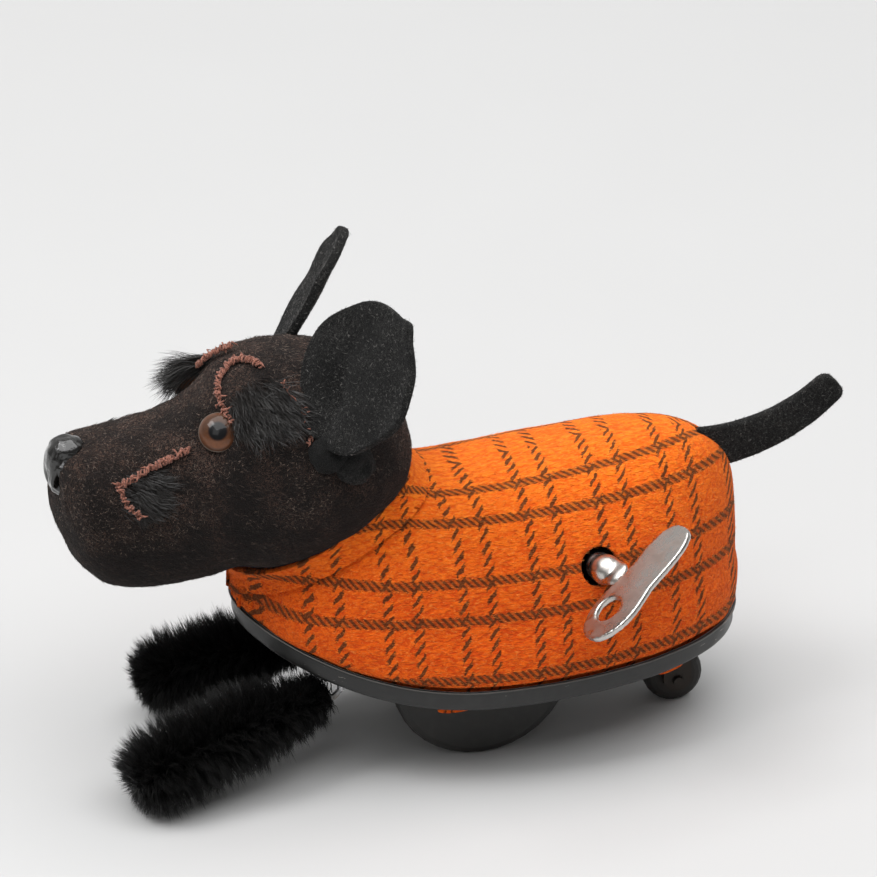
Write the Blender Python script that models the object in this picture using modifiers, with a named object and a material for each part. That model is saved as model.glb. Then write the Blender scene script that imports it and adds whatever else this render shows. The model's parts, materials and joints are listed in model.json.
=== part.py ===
"""Clockwork Scottie dog: a felt and cloth wind-up toy standing on a black tin base.

The dog faces -Y, its left side (the key's side) is +X and +Z is up.  Sizes are in millimetres in the
dog's own frame: X = 0 is its middle plane, Y = 0 is over the drive axle and Z = 0 is the floor.
The empty dog_frame moves that frame so that the finished toy is centred over the world origin.
"""

from math import atan2, ceil, cos, exp, pi, radians, sin, sqrt

import bmesh
import bpy
from mathutils import Matrix, Vector

MM = 0.001
GAP = 0.3                       # between pieces that touch
RUNNING = 0.1                   # between a pivot and its hole
FRAME_SHIFT = (-5.05, 2.38, 0)  # the dog's frame in the world

# running gear
WHEEL_R = 15.6
WHEEL_T = 3.0
WHEEL_X = 11.2
DRIVE = (0.6, WHEEL_R)          # (y, z) of the drive axle
AXLE_R = 1.1
ROLLER_R = 5.1
ROLLER_W = 7.0
ROLLER_Y = 36.9
ROLLER_PIN_R = 0.8

# tin base
BASE_Y = 4.0
BASE_HALF_LENGTH = 43.5
BASE_HALF_WIDTH = 24.3
BASE_Z = 14.7                   # underside
TIN = 0.8
RIM = 3.6
PROW_LIFT = 10.7                # how far the base sweeps up at its front tip
WINDOW = (28.6, 35.4)           # opening over the wheels, across and along
BRACKET_X = ROLLER_W / 2 + 1.2  # middle of each leg of the roller's strap
BRACKET_LONG = 4.8
RIVET_X = 4.2
RIVET_R = 0.9
FOOT_Y = (-19.0, 20.2)          # front and rear feet of the clockwork's plates
HEM_TAB = (5.0, 6.6, 1.1)
HEM_TAB_AT = (14.0, 31.6)

# body
COAT_T = 1.2
FORMER_T = 0.5
COAT_INSET = TIN + 0.6          # coat inside the rim
COAT_LIFT = 0.6                 # coat above the tray
ARCH_POWER = 2.4
END_POWER = 7.5
COAT_SWELL = 0.045              # how far it bulges over the rim, as a share
SWELL_REACH = 7.0               # height over which it does
RIDGE_Z = 49.6
RUMP_RISE, RUMP_Y, RUMP_REACH = 3.2, 30.0, 19.0
NAPE_RISE, NAPE_Y, NAPE_REACH = 2.6, -11.0, 6.0
FORMER_INSET = COAT_T + 0.6
KEY_HOLE_R = 3.5

# collar plane: where the coat ends and the head begins
COLLAR_Y = -23.4
COLLAR_Z = 43.0
COLLAR_TILT = radians(29.4)     # of its normal, forward from straight up
COLLAR_W = 3.4
COLLAR_T = 1.1
NECK_DEPTH = 3.0                # how far the head's open end goes down inside the coat
NECK_TUCK = 0.15                # how much narrower it is there
NECK_BLEND = 8.0                # height over which the head narrows to it
NECK_HALF = (6.2, 7.6)
NECK_LENGTH = 14.0
NECK_BACK = 2.0                 # of the neck block from the collar's middle

# head, as sections from its back to its nose:
# forward, top, bottom, half width
HEAD_SECTIONS = (
    (8.6, 55.0, 46.0, 5.0),
    (11.5, 63.5, 42.0, 10.5),
    (16.0, 69.6, 40.0, 14.2),
    (22.0, 73.6, 37.0, 16.6),
    (29.0, 75.4, 34.5, 17.6),
    (36.0, 75.2, 35.6, 17.2),
    (41.0, 73.4, 37.0, 16.0),
    (45.5, 69.0, 36.0, 14.4),
    (50.0, 66.0, 35.5, 13.2),
    (56.0, 64.4, 35.4, 12.6),
    (62.0, 63.2, 37.1, 12.2),
    (66.5, 62.3, 40.9, 11.2),
    (68.6, 61.4, 44.5, 9.3),
    (70.0, 59.8, 48.0, 6.4),
)
HEAD_POWER = 2.2
FELT_T = 1.4
CORE_T = 1.3

# small parts of the head, as (forward, left, up)
EYE_AT = (44.3, 9.5, 66.2)
EYE_R = 3.35
EYE_DEPTH = 2.4                 # of the lens-shaped eye, from its middle to its front
GAZE = (0.24, 0.80, 0.55)
NOSE_AT = (66.4, 0.0, 57.4)
NOSE_RADII = (5.2, 5.4, 6.2)
BROW_AT = (36.2, 11.9, 69.4)
BROW_RADII = (7.4, 7.0, 2.4)
MOUSTACHE_AT = (56.6, 11.2, 57.0)
MOUSTACHE_RADII = (6.4, 5.0, 2.0)
EAR_UP = (-0.296, -0.305, 0.905)
EARS = {  # side: middle, normal
    "left": ((21.2, 16.2, 74.8), (0.80, 0.44, 0.41)),
    "right": ((22.2, 16.2, 75.6), (0.82, 0.34, 0.46)),
}
EAR_HALF = (11.0, 14.6)
EAR_T = 2.0

# tail: a strip of thick felt standing on edge
TAIL_ROOT = (41.6, 46.4)
TAIL_BEND = (55.0, 46.6)
TAIL_TIP = (64.2, 54.8)
TAIL_HALF = (3.9, 2.9)
TAIL_T = 2.2

# forelegs
LEG_R = 7.8
LEG_NECK = 0.63                 # share of that at the root
LEG_BOW = 1.6                   # how far a leg bows up between its ends
LEG_ROOT = (9.7, -27.6, 13.2)
LEG_TIPS = {"left": (17.0, -56.0, LEG_R + 0.05), "right": (-15.3, -46.5, LEG_R + 0.05)}
WIRE_R = 0.6
WIRE_Y = -23.5

# clockwork frame and train, positions as (y, z)
PLATE_X = 6.2                   # inner face of each side plate
MODULE = 0.6
WINDING = (18.8, 36.8)
SECOND = (9.9, 28.75)
GREAT_TEETH, SECOND_TEETH, THIRD_TEETH = 30, 28, 24
LEAVES, FLY_LEAVES = 10, 8
GEAR_T = 0.8
PINION_W = 2.0
GREAT_X, SECOND_X, THIRD_X, FLY_X = -0.8, 1.6, -3.0, 4.0
FLY_R = 5.0
SPRING_X, SPRING_W = -3.6, 3.6
RATCHET_TEETH = 12
RATCHET_R = 4.6
RATCHET_X = 7.9
RATCHET_DEPTH = 0.9
RATCHET_PHASE = -0.09           # puts the crest of a tooth just under the click's nose
CLICK_PIVOT = (25.3, 41.6)
CLICK_LIFT = 0.12               # of its nose over the teeth's crests
ARBOR_R = 1.0
PIVOT_R = 0.7
WIND_R = 1.3
PILLAR_R = 1.2
TENON_R = 0.7
FLY_ANGLE = radians(155)        # from the third arbor to the fly
PILLARS = {"front": (-18.4, 22.6), "rear": (25.4, 26.2), "top": (3.0, 42.2), "low": (13.0, 14.4)}

# winding key: it leans back and up from the arbor
KEY_FOOT = (18.0, WINDING[0], WINDING[1])
KEY_AXIS = Vector((0.94, 0.29, 0.17)).normalized()
KEY_SPAN = Vector((-0.357, 0.743, 0.567))
KEY_LENGTH = 25.0
KEY_T = 1.1
KEY_MIDDLE = 12.9               # of the wing, from the key's foot
KEY_LOBE = 4.7
FINGER_HOLE_R = 2.5
FINGER_HOLE_AT = (-6.4, KEY_MIDDLE - 1.0)
BARREL_R = 2.4
SOCKET_R = 1.95
SOCKET_DEEP = 3.0

SLOTS = {  # colour, roughness, metallic
    "painted_tin": ((0.035, 0.035, 0.035), 0.45, 0.3),
    "wheel_paint": ((0.022, 0.021, 0.020), 0.7, 0.1),
    "coat_cloth": ((0.84, 0.16, 0.015), 0.9, 0.0),
    "head_felt": ((0.035, 0.026, 0.021), 0.95, 0.0),
    "ear_felt": ((0.022, 0.021, 0.021), 0.95, 0.0),
    "mohair": ((0.015, 0.012, 0.011), 0.9, 0.0),
    "chenille": ((0.008, 0.008, 0.008), 0.8, 0.0),
    "nose_wax": ((0.01, 0.01, 0.01), 0.2, 0.0),
    "eye_glass": ((0.20, 0.07, 0.02), 0.05, 0.0),
    "nickel": ((0.62, 0.59, 0.55), 0.25, 1.0),
    "steel": ((0.45, 0.45, 0.46), 0.35, 1.0),
    "spring_steel": ((0.20, 0.22, 0.28), 0.3, 1.0),
    "brass": ((0.72, 0.50, 0.20), 0.3, 1.0),
    "card": ((0.42, 0.30, 0.19), 0.9, 0.0),
    "wood": ((0.50, 0.34, 0.19), 0.7, 0.0),
}
# local X, Y, Z of a flat outline or turned piece to the dog's Y, Z, X
ACROSS = Matrix(((0, 0, 1, 0), (1, 0, 0, 0), (0, 1, 0, 0), (0, 0, 0, 1)))


# ---------------------------------------------------------------- scene and objects

def clear_scene():
    """Remove every object, mesh and collection that the open file holds."""
    for item in list(bpy.data.objects):
        bpy.data.objects.remove(item, do_unlink=True)
    for group in list(bpy.data.collections):
        bpy.data.collections.remove(group)


def new_collection(name):
    """Add a collection to the scene."""
    group = bpy.data.collections.new(name)
    bpy.context.scene.collection.children.link(group)
    return group


clear_scene()
PARTS = new_collection("clockwork_dog")
CUTTERS = new_collection("cutters")
FRAME = bpy.data.objects.new("dog_frame", None)
PARTS.objects.link(FRAME)
FRAME.location = Vector(FRAME_SHIFT) * MM


def material(name, slot):
    """One Principled material for the object called name."""
    colour, roughness, metallic = SLOTS[slot]
    mat = bpy.data.materials.new(f"{name}_{slot}")
    mat.use_nodes = True
    shader = mat.node_tree.nodes["Principled BSDF"]
    shader.inputs["Base Color"].default_value = (*colour, 1)
    shader.inputs["Roughness"].default_value = roughness
    shader.inputs["Metallic"].default_value = metallic
    mat.diffuse_color = (*colour, 1)
    return mat


def place(name, mesh, slot, at=(0, 0, 0)):
    """Put a mesh, in metres about its own origin, into the dog at a point in millimetres."""
    obj = bpy.data.objects.new(name, mesh)
    mesh.name = name
    mesh.materials.clear()
    mesh.materials.append(material(name, slot))
    mesh.shade_smooth()
    mesh.set_sharp_from_angle(angle=radians(35))
    PARTS.objects.link(obj)
    obj.parent = FRAME
    obj.location = Vector(at) * MM
    return obj


def cutter(name, mesh, at=(0, 0, 0)):
    """A hidden guide object that cuts others."""
    obj = bpy.data.objects.new(name, mesh)
    CUTTERS.objects.link(obj)
    obj.parent = FRAME
    obj.location = Vector(at) * MM
    obj.hide_render = True
    obj.display_type = "WIRE"
    return obj


def cut(obj, tool, operation="DIFFERENCE"):
    """Cut obj by tool with a Boolean modifier that stays on it."""
    step = obj.modifiers.new(f"cut_by_{tool.name}", "BOOLEAN")
    step.operation = operation
    step.object = tool
    return obj


def shell(obj, thickness, offset=-1.0):
    """Thicken an open surface, inwards by default."""
    wall = obj.modifiers.new("wall", "SOLIDIFY")
    wall.thickness = thickness * MM
    wall.offset = offset
    return obj


# ---------------------------------------------------------------- meshes

def fl(point):
    """A (forward, left, up) point as (x, y, z)."""
    return Vector((point[1], -point[0], point[2]))


def scaled(mesh):
    """Change a mesh from millimetres to metres."""
    mesh.transform(Matrix.Scale(MM, 4))
    return mesh


def finished(bm):
    """Turn a bmesh in millimetres into a mesh in metres."""
    mesh = bpy.data.meshes.new("piece")
    bm.to_mesh(mesh)
    bm.free()
    return scaled(mesh)


def box_mesh(size, centre=(0, 0, 0)):
    bm = bmesh.new()
    bmesh.ops.create_cube(bm, size=1.0, matrix=Matrix.Translation(centre) @ Matrix.Diagonal((*size, 1)))
    return finished(bm)


def rod_mesh(radius, length, sides=20, turn=ACROSS, centre=(0, 0, 0), radius_end=None):
    """A cylinder or cone along the axis that turn takes local Z to."""
    bm = bmesh.new()
    bmesh.ops.create_cone(
        bm, cap_ends=True, segments=sides, radius1=radius, radius2=radius_end or radius, depth=length,
        matrix=Matrix.Translation(centre) @ turn)
    return finished(bm)


def ball_mesh(radii, frame=Matrix.Identity(4), rings=14):
    """An ellipsoid whose axes are the columns of frame."""
    bm = bmesh.new()
    bmesh.ops.create_uvsphere(
        bm, u_segments=2 * rings, v_segments=rings, radius=1.0, matrix=frame @ Matrix.Diagonal((*radii, 1)))
    return finished(bm)


def flat_mesh(loops, thickness, turn=ACROSS):
    """A flat outline with holes, from a filled 2D curve, laid in the plane that turn gives."""
    curve = bpy.data.curves.new("outline", "CURVE")
    curve.dimensions = "2D"
    curve.fill_mode = "BOTH"
    curve.extrude = thickness / 2
    for loop in loops:
        spline = curve.splines.new("POLY")
        spline.points.add(len(loop) - 1)
        for point, (u, v) in zip(spline.points, loop):
            point.co = (u, v, 0, 1)
        spline.use_cyclic_u = True
    return curve_mesh(curve, turn)


def curve_mesh(curve, turn=Matrix.Identity(4)):
    """A curve in millimetres as a closed mesh in metres."""
    obj = bpy.data.objects.new("curve", curve)
    CUTTERS.objects.link(obj)
    bpy.context.view_layer.update()
    mesh = bpy.data.meshes.new_from_object(obj.evaluated_get(bpy.context.evaluated_depsgraph_get()))
    bpy.data.objects.remove(obj, do_unlink=True)
    bm = bmesh.new()
    bm.from_mesh(mesh)
    bmesh.ops.remove_doubles(bm, verts=bm.verts, dist=0.001)
    bmesh.ops.transform(bm, matrix=turn, verts=bm.verts)
    bmesh.ops.recalc_face_normals(bm, faces=bm.faces)
    return finished(bm)


def tube_mesh(points, radius, resolution=2, shares=None):
    """A round tube with filled caps along points, its radius scaled by shares."""
    curve = bpy.data.curves.new("tube", "CURVE")
    curve.dimensions = "3D"
    curve.bevel_depth = radius
    curve.bevel_resolution = resolution
    curve.use_fill_caps = True
    spline = curve.splines.new("POLY")
    spline.points.add(len(points) - 1)
    for i, point in enumerate(spline.points):
        point.co = (*points[i], 1)
        point.radius = shares[i] if shares else 1
    return curve_mesh(curve)


def turned(name, profile, slot, at, steps=28, turn=ACROSS):
    """A turned piece: profile is (radius, height) pairs from the top down, spun about local Z."""
    bm = bmesh.new()
    verts = [bm.verts.new((radius, 0, height)) for radius, height in profile]
    closed = profile[0][0] > 0
    for a, b in zip(verts, verts[1:] + verts[:1] if closed else verts[1:]):
        bm.edges.new((a, b))
    obj = place(name, finished(bm), slot, at)
    obj.matrix_local = Matrix.Translation(Vector(at) * MM) @ turn
    spin = obj.modifiers.new("spin", "SCREW")
    spin.steps = steps
    spin.render_steps = steps
    spin.use_merge_vertices = True
    spin.merge_threshold = 0.00001
    spin.use_smooth_shade = True
    return obj


def circle(radius, sides=20, centre=(0, 0), phase=0.0):
    """Points of a circle."""
    angles = [phase + 2 * pi * i / sides for i in range(sides)]
    return [(centre[0] + radius * cos(a), centre[1] + radius * sin(a)) for a in angles]


def frame_of(normal, up):
    """A rotation whose Z is normal and whose Y is as near as can be to up."""
    z = Vector(normal).normalized()
    x = Vector(up).cross(z).normalized()
    y = z.cross(x)
    return Matrix((x, y, z)).transposed().to_4x4()


# ---------------------------------------------------------------- shared surfaces

def prow(y):
    """How far the base is lifted at y: it sweeps up ahead of the axle."""
    return PROW_LIFT * (max(0.0, -y) / (BASE_HALF_LENGTH - BASE_Y)) ** 2


FOOT_Z = (BASE_Z + TIN + prow(-24.0), BASE_Z + TIN + GAP)


def smooth(t):
    """Ease from 0 to 1."""
    t = min(1.0, max(0.0, t))
    return t * t * (3 - 2 * t)


def ridge(y):
    """Height of the coat's back along the toy."""
    rump = RUMP_RISE * exp(-(((y - RUMP_Y) / RUMP_REACH) ** 2))
    nape = NAPE_RISE * exp(-(((y - NAPE_Y) / NAPE_REACH) ** 2))
    return RIDGE_Z + rump + nape


def body_surface(inset, stations=20, arch=16):
    """The coat's outer surface moved in by inset: arches along an oval, open below."""
    bm = bmesh.new()
    rows = []
    for i in range(stations + 1):
        u = sin(pi * (i / stations - 0.5))
        y = BASE_Y + (BASE_HALF_LENGTH - COAT_INSET - inset) * u
        foot = BASE_Z + TIN + COAT_LIFT + prow(y)
        half = (BASE_HALF_WIDTH - COAT_INSET - inset) * sqrt(max(0.0, 1 - u * u))
        tall = (ridge(y) - inset - foot) * max(0.0, 1 - abs(u) ** END_POWER) ** (1 / END_POWER)
        row = []
        for j in range(arch + 1):
            a = pi * j / arch
            c, s = cos(a), max(0.0, sin(a))
            x = half * (1 if c > 0 else -1) * abs(c) ** (2 / ARCH_POWER)
            height = tall * s ** (2 / ARCH_POWER)
            swell = 1 + COAT_SWELL * smooth((height - RIM) / SWELL_REACH)
            row.append(bm.verts.new((x * swell, BASE_Y + (y - BASE_Y) * swell, foot + height)))
        rows.append(row)
    for low, high in zip(rows, rows[1:]):
        for j in range(arch):
            bm.faces.new((low[j], low[j + 1], high[j + 1], high[j]))
    bmesh.ops.remove_doubles(bm, verts=bm.verts, dist=0.01)
    bmesh.ops.recalc_face_normals(bm, faces=bm.faces)
    return bm


def collar_plane(offset):
    """A point on the collar plane moved by offset, and its normal."""
    normal = Vector((0, -sin(COLLAR_TILT), cos(COLLAR_TILT)))
    return Vector((0, COLLAR_Y, COLLAR_Z)) + normal * offset, normal


def trimmed(bm, offset, keep_below=True):
    """Cut a bmesh on the collar plane, leaving an open edge."""
    point, normal = collar_plane(offset)
    bmesh.ops.bisect_plane(
        bm, geom=bm.verts[:] + bm.edges[:] + bm.faces[:], plane_co=point,
        plane_no=normal if keep_below else -normal, clear_outer=True)
    return bm


def tucked(point):
    """Move a point of the head in towards the neck's axis as it nears the collar plane."""
    origin, normal = collar_plane(0)
    height = (point - origin).dot(normal)
    share = min(1.0, max(0.0, 1 - height / NECK_BLEND))
    over = origin + normal * height
    return over + (point - over) * (1 - NECK_TUCK * share ** 2)


def blended(rows, at):
    """A smooth curve through the rows of a table, at a row number with a fraction."""
    i = min(int(at), len(rows) - 2)
    t = at - i
    p0, p1, p2, p3 = (rows[max(0, min(len(rows) - 1, i + k))] for k in (-1, 0, 1, 2))
    return [
        0.5 * (2 * b + (c - a) * t + (2 * a - 5 * b + 4 * c - d) * t * t + (3 * b - a - 3 * c + d) * t ** 3)
        for a, b, c, d in zip(p0, p1, p2, p3)]


def head_surface(inset, per_section=1, around=22):
    """The head's outer surface moved in by inset, closed at its nose and back ends."""
    bm = bmesh.new()
    rings = []
    count = (len(HEAD_SECTIONS) - 1) * per_section
    middle = (HEAD_SECTIONS[0][0] + HEAD_SECTIONS[-1][0]) / 2
    half_length = (HEAD_SECTIONS[-1][0] - HEAD_SECTIONS[0][0]) / 2
    for i in range(count + 1):
        ahead, top, bottom, half = blended(HEAD_SECTIONS, i / per_section)
        ahead = middle + (ahead - middle) * (1 - inset / half_length)
        centre = (top + bottom) / 2
        tall = max(0.5, (top - bottom) / 2 - inset)
        half = max(0.5, half - inset)
        ring = []
        for j in range(around):
            a = 2 * pi * (j + 0.5) / around
            x = half * (1 if cos(a) > 0 else -1) * abs(cos(a)) ** (2 / HEAD_POWER)
            z = tall * (1 if sin(a) > 0 else -1) * abs(sin(a)) ** (2 / HEAD_POWER)
            ring.append(bm.verts.new(tucked(Vector((x, -ahead, centre + z)))))
        rings.append(ring)
    for near, far in zip(rings, rings[1:]):
        for j in range(around):
            k = (j + 1) % around
            bm.faces.new((near[j], near[k], far[k], far[j]))
    bm.faces.new(rings[0])
    bm.faces.new(rings[-1])
    bmesh.ops.recalc_face_normals(bm, faces=bm.faces)
    return bm


HEAD_CUTTER = cutter("head_cutter", finished(head_surface(-GAP)))


# ---------------------------------------------------------------- base, coat and body

def base():
    """Oval tin tray with an upturned rim, swept up at the front like a prow."""
    rings = [(r, 0.0) for r in (0.45, 0.75, 0.96)] + [(1.0, 0.9), (1.0, RIM)]
    sides = 36
    bm = bmesh.new()
    centre = bm.verts.new((0, BASE_Y, BASE_Z + prow(BASE_Y)))
    rows = []
    for r, height in rings:
        row = []
        for x, y in circle(r, sides):
            y = BASE_Y + BASE_HALF_LENGTH * y
            row.append(bm.verts.new((BASE_HALF_WIDTH * x, y, BASE_Z + height + prow(y))))
        rows.append(row)
    for i in range(sides):
        k = (i + 1) % sides
        bm.faces.new((centre, rows[0][k], rows[0][i]))
        for inner, outer in zip(rows, rows[1:]):
            bm.faces.new((inner[i], inner[k], outer[k], outer[i]))
    bmesh.ops.recalc_face_normals(bm, faces=bm.faces)
    if bm.faces[0].normal.z > 0:
        bmesh.ops.reverse_faces(bm, faces=bm.faces)
    tray = shell(place("tin_base", finished(bm), "painted_tin"), TIN)
    cut(tray, cutter("window_cutter", box_mesh((*WINDOW, 12), (0, 0, BASE_Z))))
    for side in (-1, 1):
        slot = box_mesh((TIN + 2 * GAP, 6.0, 12), (side * BRACKET_X, ROLLER_Y, BASE_Z))
        cut(tray, cutter(f"bracket_slot_{side}", slot))
        hole = rod_mesh(WIRE_R + GAP, 12, turn=Matrix.Identity(4))
        wire_z = BASE_Z + prow(WIRE_Y)
        cut(tray, cutter(f"wire_hole_{side}", hole, (side * LEG_ROOT[0], WIRE_Y, wire_z)))
        for y in FOOT_Y:
            hole = rod_mesh(RIVET_R + GAP, 12, turn=Matrix.Identity(4))
            cut(tray, cutter(f"rivet_hole_{side}_{y}", hole, (side * RIVET_X, y, BASE_Z)))
    return tray


def former():
    """Tin former that holds the coat's shape."""
    arch = trimmed(body_surface(FORMER_INSET, 16, 14), -NECK_DEPTH - 3 * GAP)
    obj = shell(place("body_former", finished(arch), "painted_tin"), FORMER_T)
    cut(obj, KEY_HOLE)
    return cut(obj, TAIL_SLOT)


def coat():
    """Cloth coat over the former, from the rim to the neck."""
    obj = shell(place("coat", finished(trimmed(body_surface(0), 0)), "coat_cloth"), COAT_T)
    cut(obj, KEY_HOLE)
    return cut(obj, TAIL_SLOT)


def collar():
    """Folded band round the neck, over the coat's edge."""
    bm = trimmed(body_surface(-GAP), -0.5)
    bm = trimmed(bm, -COLLAR_W, keep_below=False)
    point, _ = collar_plane(0)
    strays = [f for f in bm.faces if f.calc_center_median().y > point.y + 22]
    bmesh.ops.delete(bm, geom=strays, context="FACES")
    return shell(place("coat_collar", finished(bm), "coat_cloth"), COLLAR_T, offset=1.0)


def neck():
    """Oval wooden block that joins the head to the body, through a hole in the head."""
    point, normal = collar_plane(0)
    point += Vector((0, normal.z, -normal.y)) * NECK_BACK
    along = frame_of(normal, (0, 1, 0))
    oval = along @ Matrix.Diagonal((*NECK_HALF, 1, 1))
    wide_oval = along @ Matrix.Diagonal((*[half + GAP for half in NECK_HALF], 1, 1))
    place("neck_block", rod_mesh(1.0, NECK_LENGTH, 20, oval), "wood", point)
    hole = cutter("neck_hole", rod_mesh(1.0, NECK_LENGTH + 2, 20, wide_oval), point)
    cut(bpy.data.objects["head_felt"], hole)
    cut(bpy.data.objects["head_core"], hole)


def hem_tab():
    """Corner of the coat's cloth that hangs out under the base by the roller."""
    mesh = box_mesh(HEM_TAB, (*HEM_TAB_AT, BASE_Z - HEM_TAB[2] / 2 - GAP))
    return place("coat_hem_tab", mesh, "coat_cloth")


KEY_HOLE = cutter("key_hole_cutter", rod_mesh(KEY_HOLE_R, 16, 24), (22.0, *WINDING))
TAIL_SLOT = cutter("tail_slot_cutter", box_mesh((TAIL_T + 2 * GAP, 12.0, 10.4), (0, 44.0, 46.6)))


# ---------------------------------------------------------------- head

def head():
    """Felt skin over a card core, both open at the neck, with sockets for the eyes."""
    skin_mesh = finished(trimmed(head_surface(0), -NECK_DEPTH, False))
    skin = shell(place("head_felt", skin_mesh, "head_felt"), FELT_T)
    core_mesh = finished(trimmed(head_surface(FELT_T + 0.8, 1, 14), -NECK_DEPTH, False))
    core = shell(place("head_core", core_mesh, "card"), CORE_T)
    for side, name in ((1, "left"), (-1, "right")):
        socket = cutter(f"eye_socket_{name}", ball_mesh([EYE_R + GAP] * 3), on_side(EYE_AT, side))
        cut(skin, socket)
        cut(core, socket)
        lens = ball_mesh((EYE_R, EYE_R, EYE_DEPTH), frame_of(on_side(GAZE, side), (0, 0, 1)), 10)
        place(f"eye_{name}", lens, "eye_glass", on_side(EYE_AT, side))
        brow = pad(f"brow_{name}", BROW_AT, (0.05, 0.62, 0.78), BROW_RADII, side)
        cut(brow, socket)
        pad(f"moustache_{name}", MOUSTACHE_AT, (0.05, 0.80, 0.60), MOUSTACHE_RADII, side)
        ear(f"ear_{name}", side)
    nose = place("nose", ball_mesh(NOSE_RADII), "nose_wax", fl(NOSE_AT))
    cut(nose, HEAD_CUTTER)


def on_side(point, side):
    """A (forward, left, up) point on the left (1) or right (-1) side, as (x, y, z)."""
    return fl((point[0], side * point[1], point[2]))


def pad(name, at, normal, radii, side):
    """Mohair patch: a flat ellipsoid with the head taken out of it."""
    turn = frame_of(on_side(normal, side), (0, -1, 0))
    obj = place(name, ball_mesh(radii, turn, 8), "mohair", on_side(at, side))
    return cut(obj, HEAD_CUTTER)


def ear(name, side):
    """Round felt ear, set on the head along a curve."""
    middle, normal = EARS["left" if side > 0 else "right"]
    turn = frame_of(on_side(normal, side), on_side(EAR_UP, side))
    outline = [(EAR_HALF[0] * x, EAR_HALF[1] * y) for x, y in circle(1, 36)]
    obj = place(name, flat_mesh([outline], EAR_T, turn), "ear_felt", on_side(middle, side))
    return cut(obj, HEAD_CUTTER)


def tail():
    """Blade of thick felt with a rounded end, curved gently upwards."""
    count = 12
    upper, lower = [], []
    root, bend, tip = (Vector(p) for p in (TAIL_ROOT, TAIL_BEND, TAIL_TIP))
    for i in range(count + 1):
        t = i / count
        point = root * (1 - t) ** 2 + bend * 2 * t * (1 - t) + tip * t * t
        along = ((bend - root) * (1 - t) + (tip - bend) * t).normalized()
        across = Vector((-along.y, along.x)) * (TAIL_HALF[0] + (TAIL_HALF[1] - TAIL_HALF[0]) * t)
        upper.append(point + across)
        lower.append(point - across)
    start = atan2(*(upper[-1] - tip).yx)
    end = []
    for i in range(1, 5):
        angle = start - pi * i / 5
        end.append(tip + Vector((cos(angle), sin(angle))) * TAIL_HALF[1])
    outline = [tuple(p) for p in upper + end + lower[::-1]]
    return place("tail", flat_mesh([outline], TAIL_T), "ear_felt")


# ---------------------------------------------------------------- forelegs, wheels, roller

def forelegs():
    """Two chenille legs on one bent wire that passes through the base."""
    ends = {}
    for side, name in ((1, "left"), (-1, "right")):
        root = Vector((side * LEG_ROOT[0], LEG_ROOT[1], LEG_ROOT[2]))
        tip = Vector(LEG_TIPS[name])
        bend = (root + tip) / 2 + Vector((0, 0, LEG_BOW))
        steps = [i / 8 for i in range(9)]
        points = [root * (1 - t) ** 2 + bend * 2 * t * (1 - t) + tip * t * t for t in steps]
        shares = [LEG_NECK + (1 - LEG_NECK) * smooth(2.2 * t) for t in steps]
        leg = place(f"foreleg_{name}", tube_mesh(points, LEG_R, 2, shares), "chenille")
        toe = ball_mesh([LEG_R - 0.02] * 3, rings=8)
        cut(leg, cutter(f"toe_{name}", toe, tip), "UNION")
        ends[name] = root
    strand_z = BASE_Z + TIN + prow(WIRE_Y) + GAP + WIRE_R
    route = []
    for name in ("left", "right"):
        root = ends[name]
        half = [
            root + Vector((0, GAP, 0)),
            Vector((root.x, WIRE_Y - 2 * WIRE_R, root.z)),
            Vector((root.x, WIRE_Y, root.z + 2 * WIRE_R)),
            Vector((root.x, WIRE_Y, strand_z - WIRE_R)),
            Vector((root.x - WIRE_R * (1 if root.x > 0 else -1), WIRE_Y, strand_z)),
        ]
        route += half if name == "left" else half[::-1]
    place("foreleg_wire", tube_mesh(route, WIRE_R), "steel")


def wheels():
    """Two drive wheels on one axle."""
    rim, half = WHEEL_R, WHEEL_T / 2
    bore = AXLE_R + RUNNING
    profile = [
        (bore, half + 0.6), (3.4, half + 0.6), (4.0, half), (rim - 1.4, half - 0.1), (rim - 0.4, half - 0.5),
        (rim, half - 1.1), (rim, -half + 0.9), (rim - 0.5, -half + 0.2), (rim - 1.2, -half), (bore, -half)]
    for side, name in ((1, "left"), (-1, "right")):
        faces_out = ACROSS if side > 0 else ACROSS @ Matrix.Rotation(pi, 4, "X")
        turned(f"drive_wheel_{name}", profile, "wheel_paint", (side * WHEEL_X, *DRIVE), 36, faces_out)
    reach = WHEEL_X + WHEEL_T / 2 + 1.0
    arbor("drive_axle", DRIVE, AXLE_R, -reach, reach, AXLE_R)


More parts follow.
